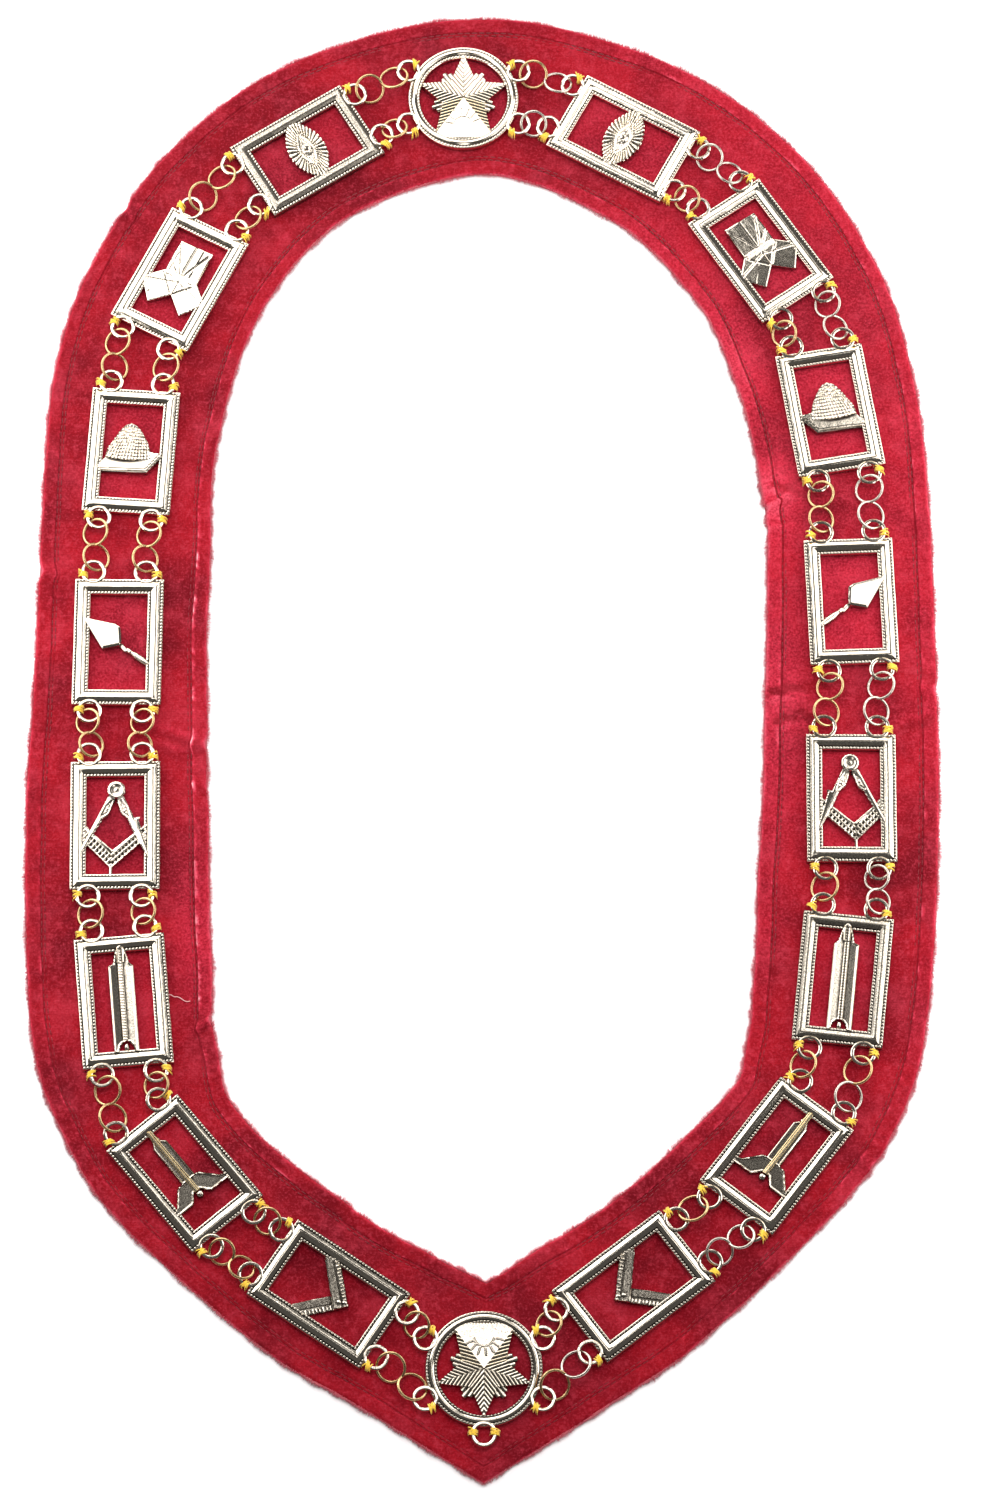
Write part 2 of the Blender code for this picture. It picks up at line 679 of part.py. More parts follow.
def dense(line, closed):
    """Points close together along a line of corners."""
    ends = np.roll(line, -1, axis=0) if closed else line[1:]
    starts = line if closed else line[:-1]
    steps = np.linspace(0, 1, 12, endpoint=False)[:, None, None]
    return (starts + (ends - starts) * steps).reshape(-1, 3)


def nearest(first, second):
    return np.sqrt(((first[:, None, :] - second[None, :, :]) ** 2).sum(axis=2)).min()


def ring_pose(centre, heading, roll):
    """A jump ring's place: its axis tipped sideways by roll about the way the strand runs."""
    turn = Matrix.Rotation(heading, 4, "Z") @ Matrix.Rotation(roll, 4, "X")
    return Matrix.Translation((centre[0], centre[1], LOOP_LEVEL)) @ turn


def ring_line(centre, heading, roll, radius):
    angles = np.linspace(0, 2 * math.pi, LINK_SIDES, endpoint=False)
    corners = np.stack([radius * np.cos(angles), radius * np.sin(angles), 0 * angles], axis=1)
    pose = np.array(ring_pose(centre, heading, roll))
    return dense(corners @ pose[:3, :3].T + pose[:3, 3], closed=True)


def clear_roll(centre, heading, radius, loops, side):
    """The smallest tip that lets a ring pass over one leg of each loop and under the other."""
    need = LINK_WIRE + LOOP_WIRE * math.cos(math.pi / LOOP_SIDES) + LINK_GAP
    best, most = 0.0, -1.0
    for roll in np.radians(np.arange(LEAST_TIP_DEG, 46.0, 0.5)):
        line = ring_line(centre, heading, side * roll, radius)
        room = min(nearest(line, loop) for loop in loops)
        if room >= need:
            return roll
        if room > most:
            best, most = roll, room
    return best


def linked_gap(first, second, radius, sways, headings):
    """How far along the strand two linked rings are drawn apart until their wires meet: from
    well apart they are moved together until they have met, passed and come clear again."""
    meet = 2 * LINK_WIRE * math.cos(math.pi / WIRE_SIDES) - LINK_BITE
    one = ring_line((0.0, sways[0]), headings[0], first, radius)
    met = False
    for gap in np.arange(2.2, 1.2, -0.004) * radius:
        two = ring_line((gap, sways[1]), headings[1], second, radius)
        room = nearest(one, two)
        met = met or room < meet
        if met and room >= meet:
            return gap
    return 1.6 * radius


def lie_of_rings(start, finish, loops, sways, count, radius):
    """Place and sway, heading and roll of each ring, and how deep the rings dip under the loops."""
    span = np.linalg.norm(finish - start)
    along = (finish - start) / span
    aside = np.array([-along[1], along[0]])
    lie = math.atan2(along[1], along[0])
    rolls = [math.radians(28) * (-1) ** number for number in range(count)]
    turns = [0.0] * count
    for _ in range(4):
        gaps = []
        for number in range(count - 1):
            pair = slice(number, number + 2)
            gaps.append(linked_gap(*rolls[pair], radius, sways[pair], turns[pair]))
        first = (span - sum(gaps)) / 2
        places = [first + sum(gaps[:number]) for number in range(count)]
        knots = [(0.0, 0.0), *zip(places, sways), (span, 0.0)]
        for number, (before, after) in enumerate(zip(knots, knots[2:])):
            turns[number] = math.atan2(after[1] - before[1], after[0] - before[0])
        tips = []
        for number, (place, sway) in enumerate(knots[1:-1]):
            near = [loop for loop, end in zip(loops, (0, count - 1)) if end == number]
            centre = start + along * place + aside * sway
            if near:
                tips.append(clear_roll(centre, lie + turns[number], radius, near, (-1) ** number))
        rolls = [max(tips) * (-1) ** number for number in range(count)]
    centres = [start + along * place + aside * sway for place, sway in knots[1:-1]]
    dip = radius * math.sin(max(tips)) + LINK_WIRE
    return [(c, lie + turn, roll, radius) for c, turn, roll in zip(centres, turns, rolls)], dip


def strand_rings(start, finish, loops, sways):
    """Centre, heading, roll and radius of each jump ring of a strand between two loops. The rings
    sway as far as asked, or as far as leaves them clear of the cloth."""
    start, finish = np.array(start), np.array(finish)
    span = np.linalg.norm(finish - start)
    count = max(1, math.ceil(span / LINK_REACH))
    spare = max(0.0, span - LINK_SLACK - count * LINK_PITCH)
    radius = LINK_RADIUS + 0.25 * spare / count
    for share in (1.0, 0.6, 0.3, 0.0):
        wanted = [share * sways[min(number, len(sways) - 1)] * MM for number in range(count)]
        rings, dip = lie_of_rings(start, finish, loops, wanted, count, radius)
        if dip <= LOOP_LEVEL - CLOTH_WALL - 0.8 * SEWN_GAP:
            break
    return rings


def make_strand(name, rings, finish, parts, helpers):
    """A strand's jump rings, soldered where they touch."""
    pieces = []
    for number, (centre, heading, roll, radius) in enumerate(rings):
        bpy.ops.mesh.primitive_torus_add(
            major_radius=radius,
            minor_radius=LINK_WIRE,
            major_segments=LINK_SIDES,
            minor_segments=WIRE_SIDES,
        )
        ring = bpy.context.object
        ring.name = f"{name} ring {number}"
        for holder in list(ring.users_collection):
            holder.objects.unlink(ring)
        helpers.objects.link(ring)
        ring.matrix_world = ring_pose(centre, heading, roll)
        pieces.append(ring)
    strand = fused(pieces[0], pieces[1:], parts)
    strand.name = name
    strand.data.shade_smooth()
    strand.data.set_sharp_from_angle(angle=math.radians(80))
    strand.data.materials.append(finish_of(finish, name))
    return strand


def make_chain(poses, section, parts, helpers):
    """All castings and the two strands of rings between each pair of neighbours."""
    for name, emblem, *_ in PLATES:
        make_plate(name, emblem, poses[name], section, parts, helpers)
    names = [row[0] for row in PLATES]
    bottom = names.index("medallion_bottom")
    runs = {"left": names[: bottom + 1], "right": [names[0], *names[:bottom - 1:-1]]}
    emblems = {row[0]: row[1] for row in PLATES}
    for side, run in runs.items():
        for strand in ("outer", "inner"):
            key = f"links_{side}_{strand}"
            for number, (upper, lower) in enumerate(zip(run, run[1:])):
                ends = []
                for name, end in ((upper, "down"), (lower, "up")):
                    ends.append(loop_in_collar(name, emblems[name], poses[name], side, end, strand))
                (start, first), (finish, last) = ends
                rings = strand_rings(start, finish, (first, last), RING_SWAYS[key][number])
                look = "silver wire" if key in SILVER_STRANDS else "gilt wire"
                make_strand(f"{key}_{number + 1}", rings, look, parts, helpers)


def loop_in_collar(name, emblem, pose, side, end, strand):
    """A loop's middle in the collar and the close points along its wire."""
    places = loop_places(emblem)
    if emblem == "star":
        turned = name == "medallion_bottom"
        facing = side if not turned else {"left": "right", "right": "left"}[side]
        middle, heading = places[facing, strand]
    else:
        kept = strand if side == "right" else {"outer": "inner", "inner": "outer"}[strand]
        middle, heading = places[end, kept]
    matrix = np.array(pose)
    line = dense(loop_line(middle, heading, LOOP_ROOT), closed=False)
    line = line @ matrix[:3, :3].T + matrix[:3, 3]
    spot = matrix @ np.array([middle[0], middle[1], 0.0, 1.0])
    return (spot[0], spot[1]), line


def smooth_round(rows, steps):
    """Closed Catmull-Rom curve through the rows, kept sharp at the first, the collar's point."""
    count = len(rows)
    found = []
    for number in range(count):
        p0, p1, p2, p3 = (rows[(number + k) % count] for k in (-1, 0, 1, 2))
        if number == 0:
            p0 = 2 * p1 - p2
        if number == count - 1:
            p3 = 2 * p2 - p1
        for t in steps[number]:
            a = 2 * p1 + (p2 - p0) * t + (2 * p0 - 5 * p1 + 4 * p2 - p3) * t * t
            found.append(0.5 * (a + (3 * p1 - p0 - 3 * p2 + p3) * t**3))
    return np.array(found)


def make_velvet(parts):
    """The cloth band: one closed loft of cuts across it, its underside flat on what it lies on."""
    half = np.array([COLLAR_WIDTH, COLLAR_LENGTH] * 2) / 200
    rows = np.array([row[1:] for row in BAND_SECTIONS]) * half
    count = len(rows)
    steps = [set(np.arange(STATIONS_PER_SECTION) / STATIONS_PER_SECTION) for _ in range(count)]
    length = np.linalg.norm(np.roll(rows[:, :2], -1, axis=0) - rows[:, :2], axis=1)
    for _, place, _, _, size, _, _ in PUCKERS:
        for offset in (-0.5, 0.0, 0.5):
            spot = place + offset * size * HEM_WIDTH / length[int(place)]
            steps[int(spot)].add(spot % 1)
    steps = [sorted(group) for group in steps]
    spots = np.array([number + t for number, group in enumerate(steps) for t in group])
    edges = smooth_round(rows, steps)
    outer, inner = edges[:, :2], edges[:, 2:]
    width = np.linalg.norm(inner - outer, axis=1)
    shares = [place * HEM_WIDTH for _, place, _, _ in CLOTH_PROFILE]
    profile = [(share, high * CLOTH_WALL + rise * HEM_RISE) for share, (_, _, high, rise) in zip(shares, CLOTH_PROFILE)]
    across, face = [], []
    for share, high in profile:
        across.append(share / width)
        face.append(np.full(len(width), high))
    for share, high in reversed(profile):
        across.append(1 - share / width)
        face.append(np.full(len(width), high))
    across.insert(len(profile), np.full(len(width), 0.5))
    face.insert(len(profile), np.full(len(width), CLOTH_WALL))
    foot = shares[1]
    across += [1 - foot / width, foot / width]
    face += [np.zeros(len(width)), np.zeros(len(width))]
    across, face = np.array(across).T, np.array(face).T
    lift = np.zeros_like(across)
    for _, place, edge, reach, size, rise, draw in PUCKERS:
        near = np.exp(-(((spots - place) * length[int(place)] / (0.35 * size * HEM_WIDTH)) ** 2))[:, None]
        from_edge = across if edge == "outer" else 1 - across
        lift += rise * CLOTH_WALL * near * np.clip(1 - from_edge / reach, 0, 1)
        inwards = draw * HEM_WIDTH * near[:, 0] / width
        if edge == "outer":
            across = across + inwards[:, None] * (1 - across)
        else:
            across = across - inwards[:, None] * across
    plan = outer[:, None, :] * (1 - across[..., None]) + inner[:, None, :] * across[..., None]
    height = face + np.where(face > 0, lift, 0.0)
    points = np.concatenate([plan, height[..., None]], axis=2)
    bm = bmesh.new()
    rings = [[bm.verts.new(point) for point in cut] for cut in points]
    for first, second in zip(rings, rings[1:] + rings[:1]):
        for number in range(len(first)):
            after = (number + 1) % len(first)
            bm.faces.new((first[number], first[after], second[after], second[number]))
    velvet = object_from(bm, "velvet_band", parts)
    velvet.data.materials.append(finish_of("red velvet", "velvet_band"))
    return velvet


def main():
    for leftover in list(bpy.data.objects):
        bpy.data.objects.remove(leftover)
    parts = new_collection("chain collar")
    helpers = new_collection("cutters and guides")
    section = wire_section(LOOP_WIRE, helpers)
    poses = {name: plate_pose(across, along, turn) for name, _, across, along, turn in PLATES}
    make_velvet(parts)
    make_chain(poses, section, parts, helpers)


main()
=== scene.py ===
"""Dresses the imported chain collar: velvet with its pile and stitches, cast plates and medallions,
jump rings, sewing threads, and the floor, light and camera of the picture.

Lengths in the formulas are millimetres, and a piece's points are turned to metres last.
"""

import math

import bpy
import numpy as np
from bpy.props import FloatProperty, FloatVectorProperty, IntProperty, PointerProperty
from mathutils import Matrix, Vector


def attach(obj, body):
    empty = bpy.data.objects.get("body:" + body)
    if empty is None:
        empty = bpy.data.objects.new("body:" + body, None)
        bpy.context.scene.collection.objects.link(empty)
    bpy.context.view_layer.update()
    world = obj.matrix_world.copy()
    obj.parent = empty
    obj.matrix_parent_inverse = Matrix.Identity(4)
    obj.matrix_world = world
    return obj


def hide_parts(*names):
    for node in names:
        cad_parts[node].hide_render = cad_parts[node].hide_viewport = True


bl_info = {
    "name": "Chain collar",
    "version": (1, 0, 0),
    "blender": (4, 5, 0),
    "location": "3D View > Sidebar > Collar",
    "description": "Makes the dressed pieces of a velvet collar with a chain of cast plates",
    "category": "Object",
}

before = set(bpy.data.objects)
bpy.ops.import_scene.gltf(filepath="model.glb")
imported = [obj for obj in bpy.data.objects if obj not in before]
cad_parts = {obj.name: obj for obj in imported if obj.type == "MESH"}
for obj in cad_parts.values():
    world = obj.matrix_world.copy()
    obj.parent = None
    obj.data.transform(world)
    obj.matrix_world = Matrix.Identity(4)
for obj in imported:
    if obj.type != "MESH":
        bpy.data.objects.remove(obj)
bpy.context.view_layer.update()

# Half the collar's width and length, and the heights of the plates' backs and of the loops.
HALF_WIDTH = 188.5
HALF_LENGTH = 318.5
PLATE_BASE = 2.3
LOOP_LEVEL = 5.7

# The cloth stays below this height where plates lie over it.
UNDER_PLATES = 2.26

# Stations that the velvet's surface has between two sections.
STATIONS = 34

# Distances in from an edge at which the velvet has points, for a hem of 6.8 mm.
DRAWN_HEM = 6.8
NEAR_EDGE = (
    (0, 0.06, 0.2, 0.45, 0.8, 1.3, 1.9, 2.7, 3.6, 4.6, 5.6)
    + (6.2, 6.55, 6.8, 7.05, 7.4, 7.8, 8.15, 8.5, 9.2, 10.4)
)

# The hem's cut: distance in from the edge and height, for the same hem.
HEM_CUT = (
    (0.0, 1.0),
    (0.12, 1.5),
    (0.45, 2.15),
    (1.0, 2.6),
    (1.7, 2.78),
    (2.6, 2.7),
    (4.2, 2.5),
    (5.6, 2.5),
    (6.3, 2.35),
    (6.8, 1.7),
    (7.25, 2.2),
    (7.7, 2.2),
    (8.15, 1.85),
    (8.6, 2.15),
    (9.6, 2.2),
    (11.5, 2.08),
    (40.0, 2.0),
)

# Sections across the band, once round from its point, in hundredths of half the collar's width
# and length, as the part's source has them: outer across, outer along, inner across, inner along.
BAND_SECTIONS = (
    (0.2, -100.0, 0.8, -74.3),
    (26.5, -90.2, 12.0, -70.0),
    (48.0, -81.2, 29.0, -63.2),
    (77.5, -64.0, 52.0, -50.2),
    (89.5, -53.6, 57.2, -42.6),
    (96.0, -41.0, 58.8, -32.2),
    (99.5, -17.5, 60.6, -14.5),
    (100.0, 7.0, 62.3, 8.0),
    (98.9, 34.0, 62.8, 25.8),
    (95.7, 50.0, 61.0, 35.5),
    (88.2, 64.6, 57.4, 45.2),
    (71.0, 80.5, 49.2, 57.4),
    (42.2, 93.4, 31.0, 69.6),
    (0.0, 100.0, 0.0, 77.1),
    (-42.2, 93.8, -31.0, 70.6),
    (-71.0, 80.6, -48.6, 58.6),
    (-88.2, 64.2, -57.0, 45.0),
    (-95.6, 50.0, -60.0, 34.0),
    (-97.8, 34.0, -60.4, 24.2),
    (-98.9, 7.0, -60.7, 5.5),
    (-100.0, -15.0, -59.8, -13.4),
    (-97.6, -42.0, -58.8, -32.8),
    (-89.6, -56.0, -57.2, -44.0),
    (-77.0, -67.0, -52.0, -52.6),
    (-47.0, -82.8, -29.0, -64.2),
    (-26.0, -90.4, -12.0, -70.4),
)

# Puckers of the cloth: section, edge, reach as a share of the band, length, rise, draw, slant.
PUCKERS = (
    (8.3, "inner", 0.24, 9.0, 1.3, 1.6, 0.15),
    (8.05, "inner", 0.20, 6.0, 0.7, 0.6, -0.2),
    (6.9, "outer", 0.22, 8.0, 1.0, 1.0, 0.1),
    (19.45, "inner", 0.24, 8.0, 1.2, 1.2, 0.1),
    (19.75, "inner", 0.18, 5.0, 0.7, 0.4, -0.1),
    (18.5, "outer", 0.22, 7.0, 1.2, 1.8, -0.1),
    (21.55, "inner", 0.20, 9.0, 1.4, 1.6, 0.35),
    (15.5, "outer", 0.22, 8.0, 1.0, 1.2, 0.2),
    (11.2, "inner", 0.15, 7.0, 0.6, 0.5, 0.1),
    (3.4, "outer", 0.15, 7.0, 0.7, 0.6, 0.2),
    (24.1, "inner", 0.15, 7.0, 0.6, 0.6, -0.2),
)

# Creases of the cloth, in millimetres: where each starts and ends, and how deep it is, which also
# sets how much painted shade it has.
CREASES = (
    (118.6, 105.3, 136.1, 99.9, 0.7),
    (116.1, 11.9, 138.5, 16.1, 1.6),
    (119.6, -0.9, 130.8, 3.9, 1.5),
    (130.8, 3.9, 139.0, -1.0, 1.1),
    (188.0, 2.6, 174.0, -3.5, 1.0),
    (-184.5, 53.0, -171.0, 65.0, 0.8),
    (-117.4, -9.6, -138.0, -4.0, 1.3),
    (-122.0, -17.0, -136.0, -10.0, 0.9),
    (-187.0, -2.0, -174.0, -3.6, 0.6),
    (-150.0, 235.5, -131.0, 226.0, 0.8),
    (-91.4, 215.2, -81.0, 225.0, 0.8),
    (-33.6, 257.0, -31.0, 245.0, 0.5),
)

# Plates: node's name, emblem, middle across and along in hundredths, turn in degrees, and how
# blackened the casting is in its pits, which also paints the darker reflection of a plate that lies
# tilted.
PLATES = (
    ("medallion_top", "star", -4.5, 87.8, 0.0, 0.15),
    ("plate_eye_left", "eye", -39.8, 80.2, -58.1, 0.4),
    ("plate_leaves_left", "leaves", -68.1, 61.6, -27.4, 0.05),
    ("plate_hive_left", "hive", -78.3, 37.2, -3.8, 0.1),
    ("plate_trowel_left", "trowel", -80.4, 10.7, -0.5, 0.1),
    ("plate_compasses_left", "compasses", -80.2, -14.3, 0.7, 0.25),
    ("plate_plumb_left", "plumb", -77.6, -37.8, 5.2, 0.3),
    ("plate_level_left", "level", -63.8, -60.4, 40.0, 0.4),
    ("plate_square_left", "square", -32.8, -76.0, 56.2, 0.4),
    ("medallion_bottom", "star", 0.3, -85.6, 180.0, 0.25),
    ("plate_square_right", "square", 32.1, -75.0, -52.6, 0.4),
    ("plate_level_right", "level", 63.0, -58.1, -37.7, 0.4),
    ("plate_plumb_right", "plumb", 77.9, -34.9, -6.2, 0.35),
    ("plate_compasses_right", "compasses", 80.5, -10.6, -0.4, 0.4),
    ("plate_trowel_right", "trowel", 81.3, 16.3, 2.1, 0.1),
    ("plate_hive_right", "hive", 77.4, 43.0, 9.6, 0.3),
    ("plate_leaves_right", "leaves", 62.4, 65.7, 34.4, 0.4),
    ("plate_eye_right", "eye", 31.7, 81.9, 61.2, 0.15),
)

# Strands with a ring of the other plating, and the way from the strand's middle to that ring.
OTHER_PLATING = {
    "links_right_outer_1": (-1, 0),
    "links_right_outer_7": (0, 1),
    "links_right_outer_9": (-1, 0),
    "links_right_inner_1": (1, 0),
}

# Borders that are duller than the others, and emblems whose flats are darker: blackening, and in
# part the painted darker reflection of a plate that lies tilted.
DULL_BORDERS = {"plate_eye_left": 0.55, "plate_plumb_right": 0.6, "plate_compasses_right": 0.85}
DULL_EMBLEMS = {"level": 0.5, "square": 0.45, "plumb": 0.75}

# Turn of a border's beads away from square, in radians, where they look like a cord.
BEAD_TWISTS = {"eye": 0.5, "level": 0.5, "square": 0.5, "star": 0.35}

# A border's cut from its outer edge inwards: distance in, height and how bright it is, rubbed
# bright on the crowns, and dark on the ledges and in the grooves at the ridge's feet, which is
# painted shade.
BORDER_CUT = (
    (0.15, 0.0, 0.3),
    (0.0, 0.3, 0.4),
    (0.0, 2.85, 0.9),
    (0.1, 3.1, 1.0),
    (0.4, 3.2, 0.6),
    (0.7, 3.15, 0.1),
    (1.2, 3.1, 0.1),
    (1.38, 3.0, 0.0),
    (1.44, 3.45, 0.25),
    (1.52, 3.7, 1.0),
    (2.1, 3.99, 1.0),
    (2.7, 4.29, 1.0),
    (2.9, 4.36, 1.0),
    (3.1, 4.39, 1.0),
    (3.3, 4.4, 1.0),
    (3.5, 4.39, 1.0),
    (3.7, 4.36, 1.0),
    (3.9, 4.29, 1.0),
    (4.5, 3.99, 1.0),
    (5.08, 3.7, 1.0),
    (5.16, 3.45, 0.25),
    (5.22, 3.0, 0.0),
    (5.42, 3.08, 0.1),
    (5.85, 3.1, 0.1),
    (6.25, 3.12, 0.7),
    (6.48, 3.0, 1.0),
    (6.55, 2.7, 0.9),
    (6.55, 0.5, 0.3),
    (6.3, 0.0, 0.2),
)

# The medallion's rim: distance in from its edge, height, how bright: rubbed bright on the crowns,
# and dark in the grooves, which is painted shade.
RIM_CUT = (
    (0.15, 0.0, 0.3),
    (0.0, 0.3, 0.4),
    (0.0, 2.85, 0.8),
    (0.1, 3.1, 1.0),
    (0.35, 3.2, 1.0),
    (1.15, 3.15, 0.25),
    (1.36, 3.0, 0.0),
    (1.42, 3.5, 0.25),
    (1.5, 3.75, 1.0),
    (1.95, 4.02, 1.0),
    (2.2, 4.12, 1.0),
    (2.45, 4.15, 1.0),
    (2.7, 4.12, 1.0),
    (2.95, 4.02, 1.0),
    (3.4, 3.75, 1.0),
    (3.48, 3.5, 0.25),
    (3.54, 3.0, 0.0),
    (3.72, 3.05, 0.25),
    (4.5, 3.1, 1.0),
    (4.75, 2.8, 0.9),
    (4.8, 0.4, 0.3),
    (4.6, 0.0, 0.2),
)

# A plate's emblem is drawn over half of this width and length, a medallion's over this radius.
EMBLEM_REACH = (17.1, 24.9)
STAR_REACH = 20.1
EMBLEM_BASE = 1.3

# Cast loops: radius, thickness of their wire's half, distance from a plate's middle across and
# along, distance from a medallion's middle and angles round it.
LOOP_RADIUS = 4.5
LOOP_WIRE = 0.82
LOOP_ACROSS, LOOP_ALONG = 11.0, 30.5
LOOP_REACH = 26.5
LOOP_ANGLES = (27.5, -27.5, 152.5, 207.5)

# How far the floor reaches each way from the middle, and its corners as shares of that.
FLOOR_REACH = 12.0
FLOOR_CORNERS = ((-1, -1), (1, -1), (1, 1), (-1, 1))

# The camera, 18 degrees off straight above and 2.5 m away: film's width, place, what it points at
# and the lens.
SENSOR = 36.0
CAMERA_PLACE = (0.00415, -0.76493, 2.35828)
CAMERA_AIM = (0.00415, -0.0114, 0.0)
LENS = 143.64

# The even light from above: place, what it points at and size.
FILL = ((0.1, 0.3, 2.9), (0.02, 0.05, 0), (2.4, 2.4))

# White cards over the object, seen only in its metal: place, size and power.
CARDS = {
    "left card": ((-0.325, 0.23, 0.6), (0.39, 0.42), 1.2),
    "north card": ((-0.21, 0.65, 0.6), (0.62, 0.42), 1.9),
    "right card": ((0.3975, 0.3, 0.6), (0.305, 0.6), 0.95),
    "south card": ((0.001, -0.15, 0.6), (0.12, 0.14), 0.12),
}

# Softboxes that light it as well: place, what they point at, size and power.
SOFTBOXES = {
    "north softbox": ((-0.35, 1.5, 0.75), (-0.1, 0.05, 0), (1.9, 1.1), 16),
    "left softbox": ((-0.40, 0.17, 0.19), (-0.13, 0.17, 0), (0.56, 0.26), 1.3),
    "right softbox": ((0.40, 0.12, 0.19), (0.13, 0.12, 0), (0.66, 0.26), 1.5),
}


def linear(code):
    """An sRGB hex colour as linear numbers."""
    parts = [int(code[start : start + 2], 16) / 255 for start in (1, 3, 5)]
    return tuple(p / 12.92 if p <= 0.04045 else ((p + 0.055) / 1.055) ** 2.4 for p in parts)


def sized(name, description, default):
    """A property that is a length in metres."""
    return FloatProperty(name=name, description=description, default=default, unit="LENGTH")


def coloured(name, description, code):
    """A property that is a colour, given by its hex code."""
    colour = linear(code)
    return FloatVectorProperty(name=name, description=description, subtype="COLOR", default=colour)


class CollarCloth(bpy.types.PropertyGroup):
    """Sizes and colours of the velvet band."""

    hem_width: sized("Hem", "Width of the turned hem", 0.0068)
    pile_length: sized("Pile", "Length of the pile along the edges", 0.0026)
    pile_count: IntProperty(name="Tufts", description="Tufts of pile at the edges", default=36000)
    colour: coloured("Velvet", "Colour of the pile", "#97101D")
    # painted shade: the colour of the broad patches and flecks of shade, and also the dark of the
    # tufts and weave rows
    dark: coloured("Shade", "Colour where the pile leans away", "#640612")
    # painted sheen: the colour of the broad patches and flecks of sheen, and also the pale of the
    # tufts and the loose pile's base colour
    light: coloured("Bloom", "Colour where the pile is brushed up", "#C43C4E")
    # painted sheen at the velvet's edges, where the loose pile is paler because light goes through
    # it
    rim: coloured("Edge", "Colour of the loose pile at the edges", "#CB5566")
    thread: coloured("Stitches", "Colour of the hem's thread", "#7A0E1C")


class CollarCastings(bpy.types.PropertyGroup):
    """Sizes and colours of the plates and medallions."""

    width: sized("Width", "Width of a plate", 0.037)
    length: sized("Length", "Length of a plate", 0.055)
    radius: sized("Medallion", "Radius of a medallion", 0.0235)
    bead: sized("Bead", "Spacing of the beads along the borders", 0.0014)
    grain: sized("Grid", "Spacing of the points of a cast emblem", 0.0003)
    bright: coloured("Nickel", "Colour of the rubbed metal", "#F5E9D6")
    wash: coloured("Gilt wash", "Colour of a gilt rod", "#EBD09A")
    # painted shade as well as blackening: the colour of the dark grooves, ledges and bead gaps
    black: coloured("Blackening", "Colour of the recesses", "#4A423B")


class CollarLinks(bpy.types.PropertyGroup):
    """Sizes and colours of jump rings and threads."""

    wire: sized("Wire", "Thickness of a jump ring's wire", 0.0012)
    gilt: coloured("Gilt", "Colour of the gilt rings", "#DBBB88")
    silver: coloured("Silver", "Colour of the silver rings", "#DDD3C6")
    tie: coloured("Thread", "Colour of the sewing thread", "#F7CB42")


class CollarStage(bpy.types.PropertyGroup):
    """Floor and light."""

    floor: coloured("Floor", "Colour of the floor", "#FAFAFA")
    sky: FloatProperty(name="Studio", description="Strength of the studio overhead", default=0.075)
    wall: FloatProperty(name="Wall", description="Strength of the white wall round it", default=0.9)
    fill: FloatProperty(name="Fill", description="Power of the light from above", default=95.0)


def clamped(value):
    """The value, held between 0 and 1."""
    return np.clip(value, 0, 1)


def bell(distance, half):
    """A bell over the distance: 1 in its middle, about a third at the half."""
    return np.exp(-((distance / half) ** 2))


def circle(count):
    """Angles of evenly spaced points round a circle."""
    return np.linspace(0, 2 * np.pi, count, endpoint=False)


def turned(degrees):
    """Cosine and sine of an angle."""
    return math.cos(math.radians(degrees)), math.sin(math.radians(degrees))


def lengths(vectors):
    """Length of each row, as a column."""
    return np.linalg.norm(vectors, axis=1)[:, None]


def flat_places(x, y, height, heading, along=1.0, across=1.0, up=1.0):
    """Matrices that turn a small shape to its heading and stretch it along, across and up."""
    places = np.zeros((len(x), 3, 4))
    places[:, 0, 0], places[:, 0, 1] = along * np.cos(heading), -across * np.sin(heading)
    places[:, 1, 0], places[:, 1, 1] = along * np.sin(heading), across * np.cos(heading)
    places[:, 2, 2] = up
    places[:, :, 3] = np.column_stack([x, y, np.full(len(x), height)])
    return places


